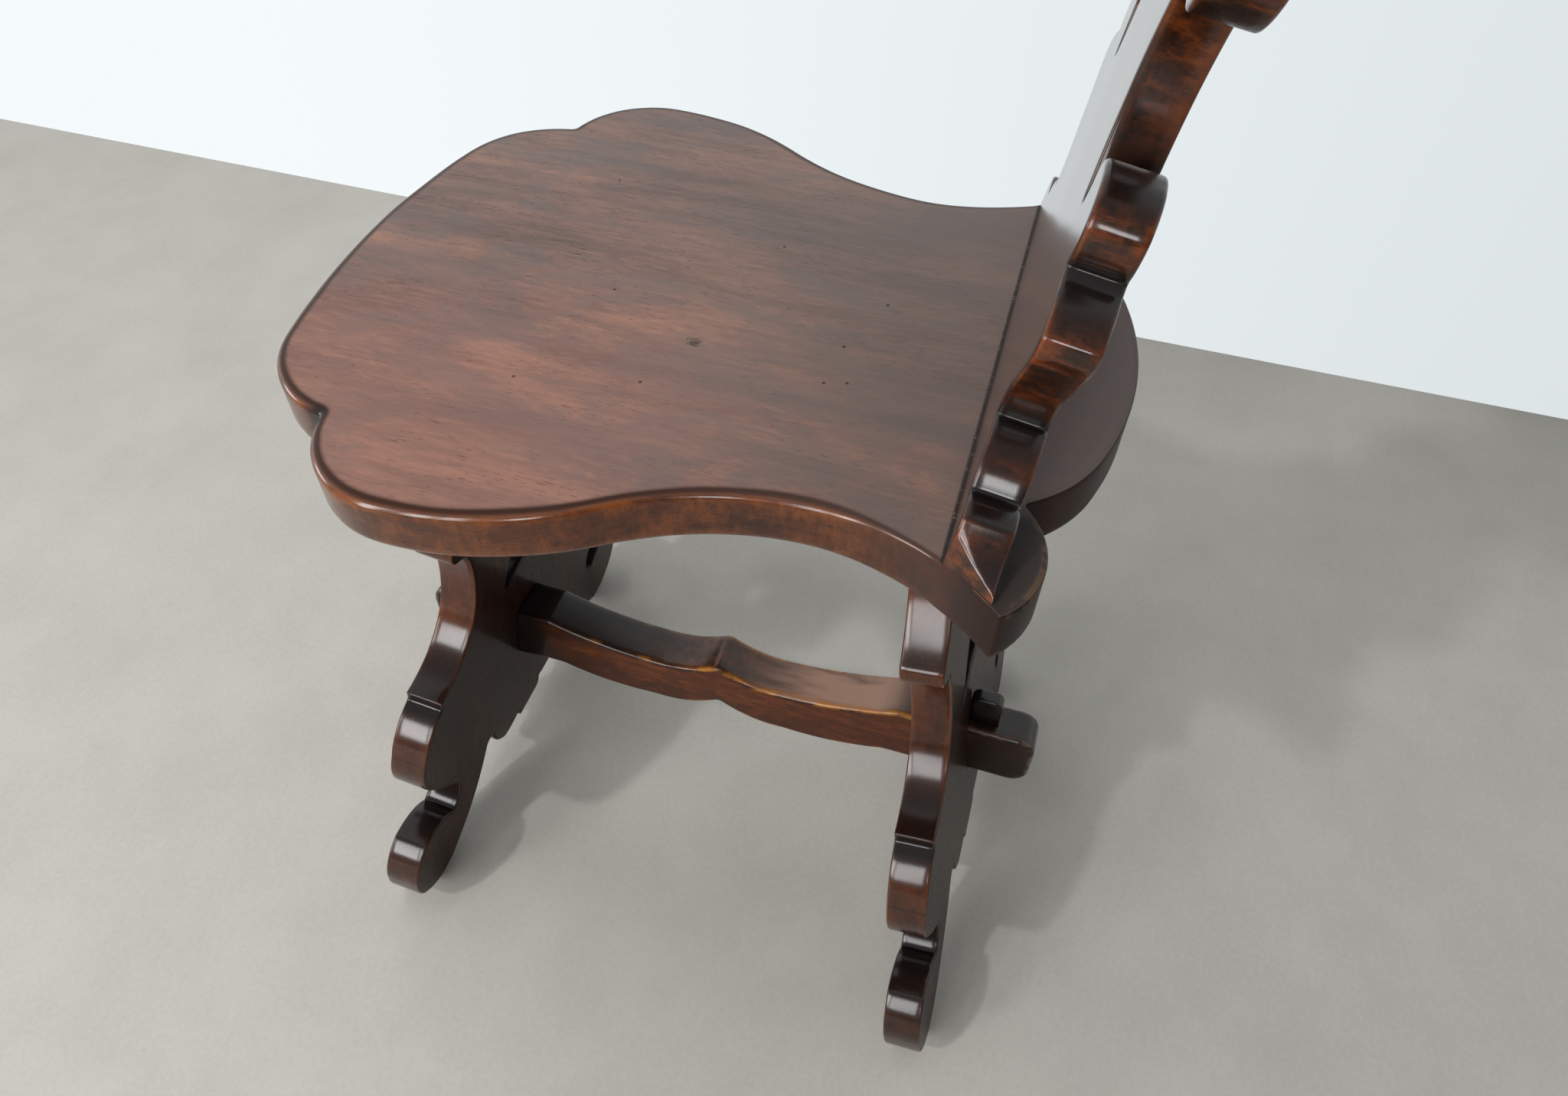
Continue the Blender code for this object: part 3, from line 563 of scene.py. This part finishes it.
def leg_outlines(lean):
    """The leg's pattern and its bell, with the sole and top where the leg's middle meets them."""
    length = SEAT_TOP / math.cos(lean)
    sole = -LEG_T / 2.0 * math.tan(lean)
    top = (SEAT_UNDER - FIT) / math.cos(lean) + sole
    flange = 1.0 - (SEAT_T + FLANGE_DEPTH) / length
    half = arcs([(x, share * length, bulge) for x, share, bulge in (
        (0.0, 0.054, 0.0),
        (0.36 * PENDANT_HALF, 0.054, 0.25),
        (0.43 * PENDANT_HALF, 0.076, 0.12),
        (PENDANT_HALF, 0.074, 0.20),
        (ARCH_HALF - ARCH_ROUND, 0.142, -0.45),
        (ARCH_HALF + ARCH_ROUND, 0.142, 0.16),
        (FOOT_HALF - FOOT_W, -0.007, 0.0),
        (FOOT_HALF - 0.76 * FOOT_W, -0.007, 0.34),
        (FOOT_HALF, 0.087, 0.30),
        (FOOT_HALF - 0.42 * FOOT_W, 0.161, 0.27),
        (1.07 * NOTCH_HALF, 0.126, -0.45),
        (NOTCH_HALF, 0.187, 0.05),
        (LOBE_HALF, 0.290, 0.22),
        (LOBE_HALF, 0.357, 0.20),
        (LEDGE_HALF + LEDGE_SLOPE, 0.418, 0.0),
        (LEDGE_HALF, 0.425, 0.0),
        (LEDGE_HALF, 0.440, -0.40),
        (NECK_HALF, 0.556, -0.12),
        (1.10 * NECK_HALF, 0.651, 0.0),
        (0.97 * LIP_HALF, 0.662, 0.40),
        (LIP_HALF, 0.693, -0.16),
        (UPPER_NECK_HALF, 0.797, -0.30),
        (0.90 * FLANGE_HALF, flange, 0.35),
        (FLANGE_HALF, flange + 0.022, 0.0),
        (FLANGE_HALF, top / length, 0.0),
        (0.0, top / length, 0.0),
    )])
    half = [(x, max(y, sole)) for x, y in half]
    bell = arcs([
        (0.0, PIERCE_BOTTOM + 0.06 * PIERCE_H, -0.10),
        (PIERCE_HALF, PIERCE_BOTTOM, 0.10),
        (0.42 * PIERCE_HALF, PIERCE_BOTTOM + 0.52 * PIERCE_H, -0.10),
        (0.0, PIERCE_BOTTOM + PIERCE_H, 0.0),
    ])
    return [both_sides(half), both_sides(bell)], sole, top


leg_face = [(0.008, 0.0024, 0.0012), (0.020, 0.006, 0.003), (0.036, 0.012, 0.006), (0.058, 0.019, 0.010)]
leg_wall = [(0.009, 0.0020, 0.0007), (0.026, 0.0055, 0.0011),
            (0.045, 0.0095, 0.0016), (0.074, 0.018, 0.003)]


def leg_marks(wire, spot, flat, worn, figure, colour, rough, gloss):
    """The lower edges are darker toward the floor, and the feet scuffed and chipped bare at the floor."""
    up = wire.node("SeparateXYZ", {}, {"Vector": spot}, 1)
    scuffed = (1.0 - up.between(0.004, 0.022)) * figure(0.004, 0.007, 4.0, 0.7).between(0.44, 0.56)
    scuffed = scuffed * (1.0 - 0.7 * flat)
    chipped = worn.between(0.3, 0.9) * (1.0 - up.between(0.010, 0.060))
    chipped = chipped * figure(0.003, 0.012).between(0.44, 0.54)
    colour = (0.60 * scuffed + 0.60 * chipped).tint(colour, (0.300, 0.200, 0.125))
    # The lower walls darken toward the floor.
    blackened = (1.0 - up.between(0.110, 0.230)) * (1.0 - flat)
    colour = (0.50 * blackened * (1.0 - scuffed)).tint(colour, (0.010, 0.006, 0.005))
    return colour, rough + 0.3 * scuffed, gloss * (1.0 - 0.6 * scuffed)


leg_walnut = stained_wood("leg_walnut", "Y", leg_face, leg_wall, (0.120, 0.036, 0.008), 7.0,
                          bare=0.2, matt=0.58, satin=0.05, marks=leg_marks)
for end, (inner_y, lean, side) in LEGS.items():
    outlines, sole, top = leg_outlines(lean)

    def sheared(points, lean=lean, sole=sole, top=top):
        """The sole lies on the floor and the top lies against the seat, both level."""
        x, y, z = points.T
        level = 1.0 - smooth_step(y, sole + 0.004, sole + 0.03)
        level = level + smooth_step(y, top - 0.02, top - 0.003)
        return np.stack([x, y - z * math.tan(lean) * level, z], axis=1)

    def leg_arris(loop, top=top):
        return np.where(loop[:, 1] > top - 0.003, CRISP, LEG_ARRIS)

    out = Vector((0.0, side * math.cos(lean), math.sin(lean)))
    foot = Vector((0.0, inner_face_y(inner_y, lean, side, 0.0), 0.0))
    up = (0.0, -side * math.sin(lean), math.cos(lean))
    place = turned((-side, 0.0, 0.0), up, foot + out * (LEG_T / 2.0))
    leg = plank(end + "_leg_plank", outlines, LEG_T, leg_arris, place, sheared, seed=3.0 + side)
    deep = sorted((inner_face_y(inner_y, lean, side, BAR_TOP) - side * CHISEL_PAST,
                   outer_face_y(inner_y, lean, side, BAR_TOP - BAR_H) + side * CHISEL_PAST))
    chop(leg, (-TUSK_W / 2.0 - FIT, deep[0], BAR_TOP - BAR_H - FIT),
         (TUSK_W / 2.0 + FIT, deep[1], BAR_TOP + FIT))
    leg.data.materials.append(leg_walnut)
    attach(leg, "chair")
    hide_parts(end + "_leg")

# The pegs between legs and seat and the tenons' wedges are plain riven sticks, driven in dry and never
# stained. They are hidden inside the joints, so they keep the frame's own solids.
peg = bpy.data.materials.new("bare_peg_wood")
peg.use_nodes = True
wire = Wire(peg.node_tree)
spot = wire.node("TexCoord", {}, {}, "Object")
fibres = wire.node("VectorMath", {"operation": "MULTIPLY"}, {0: spot, 1: (900.0, 900.0, 60.0)})
fibres = wire.node("TexNoise", {}, {"Vector": fibres, "Scale": 1.0, "Detail": 3.0}, "Fac")
pale = wire.node("ValToRGB", {"stops": [(0.30, (0.22, 0.12, 0.06)), (0.70, (0.44, 0.28, 0.16))]},
                 {"Fac": fibres})
bare = peg.node_tree.nodes["Principled BSDF"]
peg.node_tree.links.new(pale.socket, bare.inputs["Base Color"])
peg.node_tree.links.new((0.55 + 0.25 * fibres).socket, bare.inputs["Roughness"])
for node_name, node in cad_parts.items():
    if "dowel" in node_name or "wedge" in node_name:
        node.data.materials.clear()
        node.data.materials.append(peg)

# The stretcher is one walnut bar, waved on top and underneath, that ties the legs together.
# Its narrower ends, the tusks, run through the legs and are slotted for the keys.
BAR_W = 0.0310
BAR_DIP = 0.0150
BAR_ARRIS = 0.0022
TUSK_OUT = 0.0420
TUSK_ROUND = 0.0130
TUSK_ARRIS = 0.0030
TUSK_ROOT = 0.0040   # where a tusk starts, inside the leg
SLOT_PAST = 0.02     # how far the slot's chisel runs past the tusk
KEY_T = 0.0100
KEY_TOP_W = 0.0180
KEY_DRAW = 0.0080
bar_low = BAR_TOP - BAR_H
bar_front = inner_face_y(*LEGS["front"], BAR_TOP)
bar_rear = inner_face_y(*LEGS["rear"], BAR_TOP)
bar_centre = (bar_front + bar_rear) / 2.0
bar_reach = (bar_rear - bar_front) / 2.0
hollow_at = 0.32 * bar_reach
side_view = turned((0.0, 1.0, 0.0), (0.0, 0.0, 1.0), (0.0, 0.0, 0.0))
bar_outline = arcs([
    (inner_face_y(*LEGS["front"], bar_low), bar_low, 0.0),
    (bar_centre - 0.80 * bar_reach, bar_low, 0.10),
    (bar_centre - hollow_at, bar_low - 0.55 * BAR_DIP, 0.18),
    (bar_centre - 0.015 * bar_reach, bar_low + 0.30 * BAR_DIP, -0.30),
    (bar_centre + 0.015 * bar_reach, bar_low + 0.30 * BAR_DIP, 0.18),
    (bar_centre + hollow_at, bar_low - 0.55 * BAR_DIP, 0.10),
    (bar_centre + 0.80 * bar_reach, bar_low, 0.0),
    (inner_face_y(*LEGS["rear"], bar_low), bar_low, 0.0),
    (bar_rear, BAR_TOP, 0.0),
    (bar_centre + 0.84 * bar_reach, BAR_TOP, -0.08),
    (bar_centre + hollow_at, BAR_TOP - BAR_DIP, -0.16),
    (bar_centre + 0.015 * bar_reach, BAR_TOP - 0.25 * BAR_DIP, 0.10),
    (bar_centre - 0.015 * bar_reach, BAR_TOP - 0.25 * BAR_DIP, -0.16),
    (bar_centre - hollow_at, BAR_TOP - BAR_DIP, -0.08),
    (bar_centre - 0.84 * bar_reach, BAR_TOP, 0.0),
    (bar_front, BAR_TOP, 0.0),
    (inner_face_y(*LEGS["front"], bar_low), bar_low, 0.0),
])[:-1]


def bar_arris(loop):
    """Rounded along the bar, crisp where its shoulders meet the legs."""
    from_end = bar_reach - np.abs(loop[:, 0] - bar_centre)
    return CRISP + (BAR_ARRIS - CRISP) * smooth_step(from_end, -0.004, 0.010)


bar_face = [(0.018, 0.004, 0.0010), (0.048, 0.009, 0.0012),
            (0.085, 0.018, 0.002), (0.135, 0.035, 0.004)]
bar_wall = [(0.008, 0.003, 0.0016), (0.018, 0.007, 0.003), (0.038, 0.014, 0.006), (0.090, 0.034, 0.013)]


def bar_marks(wire, spot, flat, worn, figure, colour, rough, gloss):
    """Black on top toward the front leg, next to the front leg and on the tusks, rubbed pale on top toward
    the rear leg, mottled along the sides and darker toward their bottom, with gold arrises on the bar and
    knocked ones on the tusks."""
    along = wire.node("SeparateXYZ", {}, {"Vector": spot}, 0)
    top = 1.0 - flat
    colour = (0.85 * top * (1.0 - along.between(bar_centre - 0.5 * bar_reach, bar_centre))).tint(
        colour, (0.006, 0.004, 0.0035))
    low = 1.0 - wire.node("SeparateXYZ", {}, {"Vector": spot}, 1).between(bar_low, BAR_TOP - BAR_DIP)
    mottle = figure(0.007, 0.016, 4.0, 0.65).between(0.42, 0.60)
    colour = (0.55 * flat * (0.5 * low + 0.8 * mottle)).tint(colour, bar_face[0])
    front_end = 1.0 - along.between(bar_front + 0.012, bar_front + 0.028)
    colour = (0.9 * front_end).tint(colour, (0.005, 0.0025, 0.002))
    tusk = 1.0 - along.between(bar_front - 0.03, bar_front - 0.02)
    tusk = tusk + along.between(bar_rear + 0.02, bar_rear + 0.03)
    colour = (0.80 * tusk).tint(colour, (0.009, 0.0045, 0.003))
    rubbed_off = along.between(bar_centre, bar_centre + 0.5 * bar_reach)
    rubbed_off = rubbed_off * figure(0.016, 0.080).between(0.25, 0.55)
    rubbed_off = rubbed_off * (1.0 - along.between(bar_rear - 0.040, bar_rear - 0.006))
    colour = (0.85 * top * rubbed_off * (1.0 - tusk)).tint(colour, (0.285, 0.158, 0.106))
    gold = worn.between(0.1, 0.6) * figure(0.009, 0.026).between(0.46, 0.60)
    gold = gold * along.between(bar_front, bar_centre) * (1.0 - tusk)
    colour = (0.85 * gold).tint(colour, (0.300, 0.110, 0.012))
    knocked = tusk * worn.between(0.2, 0.7) * figure(0.004, 0.012).between(0.46, 0.56)
    colour = (0.40 * knocked).tint(colour, (0.200, 0.105, 0.055))
    return colour, rough, gloss


bar_walnut = stained_wood("stretcher_walnut", "X", bar_face, bar_wall, (0.180, 0.052, 0.010), 13.0,
                          bare=0.25, matt=0.35, marks=bar_marks)
bar = plank("stretcher_bar", [bar_outline], BAR_W, bar_arris, side_view, seed=8.0)
bar.data.materials.append(bar_walnut)
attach(bar, "chair")
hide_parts("stretcher")
for end, (inner_y, lean, side) in LEGS.items():
    root = sum(inner_face_y(inner_y, lean, side, z) for z in (BAR_TOP, bar_low)) / 2.0
    tip = outer_face_y(inner_y, lean, side, BAR_TOP - BAR_H / 2.0) + side * TUSK_OUT
    sides = arcs([
        (root + side * TUSK_ROOT, bar_low, 0.0),
        (tip - side * TUSK_ROUND, bar_low, side * 0.40),
        (tip, bar_low + TUSK_ROUND, 0.0),
        (tip, BAR_TOP - TUSK_ROUND, side * 0.40),
        (tip - side * TUSK_ROUND, BAR_TOP, 0.0),
        (root + side * TUSK_ROOT, BAR_TOP, 0.0),
        (root + side * TUSK_ROOT, bar_low, 0.0),
    ])[:-1]
    tusk = plank(end + "_tusk", [sides[::side]], TUSK_W, TUSK_ARRIS, side_view, seed=9.0 + side)
    slot_y = sorted((outer_face_y(inner_y, lean, side, BAR_TOP) - side * KEY_DRAW,
                     outer_face_y(inner_y, lean, side, BAR_TOP) + side * (2.0 * FIT + KEY_TOP_W)))
    chop(tusk, (-KEY_T / 2.0 - FIT, slot_y[0], bar_low - SLOT_PAST),
         (KEY_T / 2.0 + FIT, slot_y[1], BAR_TOP + SLOT_PAST))
    tusk.data.materials.append(bar_walnut)
    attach(tusk, "chair")

# The keys are small dark walnut wedges, flat toward the leg and upright outside, tapped down through
# the tusks. Each lifts straight out, which lets the whole under-frame come apart.
KEY_ABOVE = 0.0240
KEY_BELOW = 0.0080
KEY_CROWN = 0.0060
KEY_ARRIS = 0.0016
key_face = [(0.002, 0.0013, 0.001), (0.005, 0.003, 0.002), (0.009, 0.005, 0.003), (0.020, 0.009, 0.005)]
key_walnut = stained_wood("key_walnut", "Y", key_face, key_face, (0.040, 0.015, 0.006), 21.0,
                          bare=0.3, matt=0.4)
key_top = BAR_TOP + KEY_ABOVE
key_foot = bar_low - KEY_BELOW
key_middle = (key_top + key_foot) / 2.0
for end, (inner_y, lean, side) in LEGS.items():
    back_y = outer_face_y(inner_y, lean, side, BAR_TOP) + side * (FIT + KEY_TOP_W)
    flat_foot, flat_top = (
        side * (outer_face_y(inner_y, lean, side, z) - back_y) + FIT / math.cos(lean)
        for z in (key_foot, key_top - KEY_CROWN))
    sides = [(side * x, z - key_middle) for x, z in arcs([
        (flat_foot, key_foot, 0.0),
        (0.0, key_foot, 0.0),
        (0.0, key_top - KEY_CROWN, 0.40),
        (-KEY_CROWN, key_top, 0.0),
        (flat_top + KEY_CROWN, key_top, 0.40),
        (flat_top, key_top - KEY_CROWN, 0.0),
        (flat_foot, key_foot, 0.0),
    ])[:-1]]
    place = turned((0.0, 1.0, 0.0), (0.0, 0.0, 1.0), (0.0, back_y, key_middle))
    key = plank(end + "_key_wedge", [sides[::side]], KEY_T, KEY_ARRIS, place, seed=11.0 + side)
    key.data.materials.append(key_walnut)
    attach(key, end + "_key")
    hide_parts(end + "_key")

# The back is a tall raked walnut board, scroll-sawn down both edges, grain upright.
# It stands on the seat on square shoulders, and two wedged tenons go down through the seat.
BACK_T = 0.0210
BACK_ARRIS = 0.0018
BACK_RAKE = math.radians(9.3)
BACK_LENGTH = 0.4300
NICK = 0.0030
EAR_INSET = 0.0020
EAR_LIP = 0.0020
EAR_RUB = 0.0018
EAR_SLOPE = 0.30
GROOVE_HALF = 0.1120
GROOVE_UP = 0.0215
EAR_ROUND_W = 0.0170
STEP_HALF = 0.0920
STEP_UP = 0.0400
WAVE_H = 0.0240
WING_HALF = 0.1190
WING_UP = 0.0970
WING_H = 0.0140
CURL_HALF = 0.1020
CURL_H = 0.0450
SLIT_HALF = 0.0600
SLIT_DEPTH = 0.0230
BACK_NECK_HALF = 0.0510
BACK_NECK_UP = 0.1520
CREST_UP = 0.2000
CREST_HALF = 0.1280
CREST_TOP_HALF = 0.0560
TENON_X = 0.0550
TENON_W = 0.0400
TENON_T = 0.0130
WEDGE_T = 0.0032
WEDGE_L = 0.0150
CURL_TOP = WING_UP + CURL_H
crest_h = BACK_LENGTH - CREST_UP
rake = math.tan(BACK_RAKE)
foot_up = FIT / math.cos(BACK_RAKE) + BACK_T / 2.0 * rake
back_outline = both_sides(arcs([
    (0.0, foot_up, 0.0),
    (EAR_X - EAR_INSET, foot_up, 0.0),
    (EAR_X - EAR_INSET, foot_up + EAR_LIP, -0.16),
    (GROOVE_HALF + EAR_ROUND_W, GROOVE_UP, 0.25),
    (GROOVE_HALF + NICK, GROOVE_UP, -0.40),
    (GROOVE_HALF, GROOVE_UP, 0.20),
    (STEP_HALF, STEP_UP, 0.0),
    (STEP_HALF - NICK, STEP_UP, -0.22),
    (STEP_HALF + 2.0 * NICK, STEP_UP + WAVE_H, 0.0),
    (WING_HALF - 2.0 * NICK, WING_UP - 0.85 * WING_H, 0.22),
    (WING_HALF - 0.7 * NICK, WING_UP + 0.15 * WING_H, 0.16),
    (CURL_HALF - 0.7 * NICK, WING_UP + WING_H, 0.0),
    (CURL_HALF - 2.0 * NICK, WING_UP + WING_H + NICK, 0.20),
    (CURL_HALF - NICK, CURL_TOP - 0.24 * CURL_H, 0.32),
    (0.80 * CURL_HALF, CURL_TOP, 0.24),
    (SLIT_HALF + 2.0 * NICK, CURL_TOP - 2.0 * NICK, -0.05),
    (SLIT_HALF + 0.7 * NICK, CURL_TOP - SLIT_DEPTH, -0.70),
    (SLIT_HALF - 0.7 * NICK, CURL_TOP - SLIT_DEPTH, -0.08),
    (BACK_NECK_HALF, BACK_NECK_UP, -0.18),
    (1.25 * BACK_NECK_HALF, CREST_UP - NICK, 0.0),
    (0.76 * CREST_HALF, CREST_UP - NICK, 0.30),
    (0.91 * CREST_HALF, CREST_UP + 0.13 * crest_h, -0.14),
    (0.94 * CREST_HALF, CREST_UP + 0.33 * crest_h, 0.0),
    (0.98 * CREST_HALF, CREST_UP + 0.34 * crest_h, 0.26),
    (0.83 * CREST_HALF, CREST_UP + 0.67 * crest_h, 0.0),
    (0.80 * CREST_HALF, CREST_UP + 0.68 * crest_h, -0.20),
    (CREST_TOP_HALF + NICK, CREST_UP + 0.87 * crest_h, 0.0),
    (CREST_TOP_HALF, CREST_UP + 0.89 * crest_h, 0.16),
    (0.0, BACK_LENGTH, 0.0),
]))


def back_arris(loop):
    return np.where(loop[:, 1] < foot_up + 0.0015, CRISP, BACK_ARRIS)


def raked_foot(points):
    """The foot is level with the seat, and its ears are cut back flush with the seat's waist."""
    x, y, z = points.T
    level = 1.0 - smooth_step(y, foot_up + 0.001, foot_up + 0.02)
    y = y - z * rake * level
    behind = y * math.sin(BACK_RAKE) + (BACK_T / 2.0 - z) * math.cos(BACK_RAKE)
    waist_round = math.hypot(EAR_X - WAIST_HALF, EAR_Y + WAIST_FORE) / (2.0 * math.sin(ear_turn))
    reach = np.clip(behind + WAIST_FORE, 0.0, waist_round)
    limit = WAIST_HALF + waist_round - np.sqrt(waist_round ** 2 - reach ** 2) - EAR_SLOPE * y
    over = np.clip(np.abs(x) - limit + EAR_RUB, 0.0, None)
    trimmed = np.where(over < 2.0 * EAR_RUB, np.abs(x) - over ** 2 / (4.0 * EAR_RUB), limit)
    return np.stack([np.sign(x) * np.where(y < GROOVE_UP, trimmed, np.abs(x)), y, z], axis=1)


board_up = (0.0, math.sin(BACK_RAKE), math.cos(BACK_RAKE))
board_back = Vector((0.0, math.cos(BACK_RAKE), -math.sin(BACK_RAKE)))
board_foot = Vector((0.0, BACK_LINE, SEAT_TOP)) + board_back * (BACK_T / 2.0)
board_place = turned((1.0, 0.0, 0.0), board_up, board_foot)
back_face = [(0.016, 0.006, 0.003), (0.034, 0.012, 0.006), (0.056, 0.019, 0.009), (0.085, 0.029, 0.013)]
back_wall = [(0.003, 0.0010, 0.0005), (0.009, 0.0022, 0.0006),
             (0.018, 0.0042, 0.0007), (0.042, 0.009, 0.0012)]
back_walnut = stained_wood("back_walnut", "Y", back_face, back_wall, (0.120, 0.026, 0.003), 29.0,
                           bare=0.9, matt=-0.25, clean_and_unshaded=0.40)
back = plank("back_board_plank", [back_outline], BACK_T, back_arris, board_place, raked_foot,
             soften=0.0006, seed=15.0, coarse=0.0015, layers=7)
back.data.materials.append(back_walnut)
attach(back, "chair")
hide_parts("back_board")
for hand, label in ((-1, "left"), (1, "right")):
    tenon_foot = FIT / math.cos(BACK_RAKE) - SEAT_T / math.cos(BACK_RAKE) + BACK_T / 2.0 * rake
    x0, x1 = hand * TENON_X - TENON_W / 2.0, hand * TENON_X + TENON_W / 2.0
    chop(seat, (x0 - FIT, -0.09, -TENON_T / 2.0 - FIT), (x1 + FIT, 0.05, TENON_T / 2.0 + FIT),
         board_place)

    def flush(points):
        """Both ends of the tenon lie level, as the seat does."""
        x, y, z = points.T
        return np.stack([x, y - z * rake, z], axis=1)

    tenon_outline = [(x0, tenon_foot), (x1, tenon_foot), (x1, foot_up), (x0, foot_up)]
    tenon = plank(label + "_tenon", [tenon_outline], TENON_T, CRISP, board_place, flush,
                  soften=0.0004, seed=17.0 + hand)
    middle = hand * TENON_X
    chop(tenon, (middle - WEDGE_T / 2.0 - FIT, tenon_foot - 0.01, -TENON_T),
         (middle + WEDGE_T / 2.0 + FIT, tenon_foot + WEDGE_L + 0.004, TENON_T), board_place)
    tenon.data.materials.append(back_walnut)
    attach(tenon, "chair")

# The room: a plain pale floor up to a white wall, which bounces light and, as painted light, glows in the
# gloss in a white that fades from left to right, while the camera sees a painted white backdrop with the
# same fall-off instead. Soft lamps hang in the ceiling, a high pane gives the clear shadows, and three
# panes, a side window and a low window give the long lights on the rounded edges.
WALL_X = -0.68
WALL_H = 4.0
ROOM = 6.0
LAMP_Z = 2.5
LAMP_W = 0.16
LAMP_POWER = 3.0
PANE_X = 2.0
PANE_Z = 1.1
WALL_LEFT = (0.91, 0.96, 0.98)
WALL_RIGHT = (0.72, 0.77, 0.785)


def sheet(name, corners, seen=True):
    """A flat sheet of the room that the camera sees or not; gives its material's first wire and shader."""
    mesh = bpy.data.meshes.new(name)
    mesh.from_pydata(corners, [], [(0, 1, 2, 3)])
    made = bpy.data.objects.new(name, mesh)
    bpy.context.scene.collection.objects.link(made)
    made.visible_camera = seen
    paint = bpy.data.materials.new(name)
    paint.use_nodes = True
    mesh.materials.append(paint)
    return Wire(paint.node_tree), paint.node_tree.nodes["Principled BSDF"]


wire, lino = sheet("floor", [(WALL_X, -ROOM, 0.0), (ROOM, -ROOM, 0.0),
                             (ROOM, ROOM, 0.0), (WALL_X, ROOM, 0.0)])
spot = wire.node("TexCoord", {}, {}, "Object")
clouds = wire.node("TexNoise", {}, {"Vector": spot, "Scale": 9.0, "Detail": 8.0,
                                    "Roughness": 0.65}, "Fac")
grit = wire.node("TexNoise", {}, {"Vector": spot, "Scale": 260.0, "Detail": 3.0,
                                  "Roughness": 0.7}, "Fac")
pale = (0.60 * clouds + 0.40 * grit).between(0.25, 0.75)
pale = pale.tint((0.355, 0.339, 0.307), (0.418, 0.400, 0.367))
wire.tree.links.new(pale.socket, lino.inputs["Base Color"])
lino.inputs["Roughness"].default_value = 0.6
lino.inputs["Specular IOR Level"].default_value = 0.1
wire, plaster = sheet("wall", [(WALL_X, -ROOM, 0.0), (WALL_X, ROOM, 0.0),
                               (WALL_X, ROOM, WALL_H), (WALL_X, -ROOM, WALL_H)], seen=False)
plaster.inputs["Base Color"].default_value = (0.86, 0.90, 0.92, 1.0)
plaster.inputs["Roughness"].default_value = 0.9


def background(wire):
    """1 for what is seen directly, mirrored or through glass, and 0 for what only lights the room."""
    seen = wire.node("LightPath", {}, {}, "Is Camera Ray")
    mirrored = wire.node("LightPath", {}, {}, "Is Glossy Ray")
    return seen + mirrored + wire.node("LightPath", {}, {}, "Is Transmission Ray")


# Painted light: the gloss sees the wall glowing white, brighter to the left and fading to the right.
across = wire.node("SeparateXYZ", {}, {"Vector": wire.node("TexCoord", {}, {}, "Object")}, 1)
bright = wire.node("Emission", {}, {"Color": across.between(-0.9, 0.9).tint(WALL_LEFT, WALL_RIGHT)})
painted = Wire(wire.tree, plaster.outputs[0])
shown = wire.node("MixShader", {}, {0: background(wire), 1: painted, 2: bright})
wire.tree.links.new(shown.socket, wire.tree.nodes["Material Output"].inputs["Surface"])


def lamp(name, place, target, size, power, mirrored=True):
    """A rectangular lamp facing a target; the gloss mirrors it or not, and the camera never sees it."""
    light = bpy.data.lights.new(name, "AREA")
    light.shape = "RECTANGLE"
    light.size, light.size_y = size
    light.energy = power
    made = bpy.data.objects.new(name, light)
    bpy.context.scene.collection.objects.link(made)
    made.location = place
    made.rotation_euler = (Vector(target) - Vector(place)).to_track_quat("-Z", "Y").to_euler()
    made.visible_camera = False
    made.visible_glossy = mirrored


for i, (x, y) in enumerate(((0.05, -0.45), (0.55, -0.85), (-0.35, -0.70))):
    lamp("ceiling_lamp_%d" % (i + 1), (x, y, LAMP_Z), (x, y, 0.0), (LAMP_W, LAMP_W), LAMP_POWER,
         mirrored=False)
panes = ((-0.68, 0.30, 1.0, 46.0), (-0.25, 0.28, 1.0, 33.0), (0.47, 0.28, 0.5, 46.0))
for i, (y, width, tall, glow) in enumerate(panes):
    lamp("window_%d" % (i + 1), (PANE_X, y, PANE_Z), (0.0, y, 0.5), (width, tall), glow * width * tall)
lamp("high_pane", (1.7, -1.28, 2.6), (0.1, -0.2, 0.0), (0.14, 0.14), 29.0, mirrored=False)
lamp("side_window", (1.7, -1.25, 0.97), (0.0, 0.0, 0.3), (0.4, 1.2), 20.0)
lamp("low_window", (0.4, -2.6, 0.54), (0.0, 0.0, 0.70), (0.7, 0.50), 9.0)
world = bpy.data.worlds.new("room")
world.use_nodes = True
wire = Wire(world.node_tree)
way = wire.node("TexCoord", {}, {}, "Generated")
toward, across, up = (wire.node("SeparateXYZ", {}, {"Vector": way}, k) for k in range(3))
sky = up.between(0.0, 1.0).tint((0.110, 0.112, 0.114), (0.330, 0.339, 0.342))
sky = (0.4 * across.between(0.5, -1.0)).tint(sky, (0.70, 0.72, 0.73))
sky = (0.15 * across.between(0.1, 1.0)).tint(sky, (0.42, 0.43, 0.44))
# Painted light: the camera sees a white backdrop fading from left to right, and the gloss sees it toward
# the wall.
slant = across / toward.math("ABSOLUTE", toward)
white = slant.between(-0.95, 0.70).tint(WALL_LEFT, WALL_RIGHT)
seen = wire.node("LightPath", {}, {}, "Is Camera Ray")
sky = wire.math("MAXIMUM", seen, background(wire) * toward.between(0.40, -0.10)).tint(sky, white)
world.node_tree.links.new(sky.socket, world.node_tree.nodes["Background"].inputs["Color"])
bpy.context.scene.world = world
bpy.context.scene.view_settings.view_transform = "Standard"

# The camera looks down over the seat's rear corner, with a wide lens and no shift.
camera = bpy.data.cameras.new("camera")
camera.lens = 24.758
camera.sensor_width = 36.0
camera.sensor_fit = "HORIZONTAL"
camera.clip_start = 0.01
eye = bpy.data.objects.new("camera", camera)
bpy.context.scene.collection.objects.link(eye)
eye.matrix_world = Matrix(((-0.290945, -0.712606, 0.638391, 0.412075),
                           (0.956547, -0.230054, 0.179145, 0.149352),
                           (0.019205, 0.662773, 0.748574, 0.766097),
                           (0.0, 0.0, 0.0, 1.0)))
bpy.context.scene.camera = eye
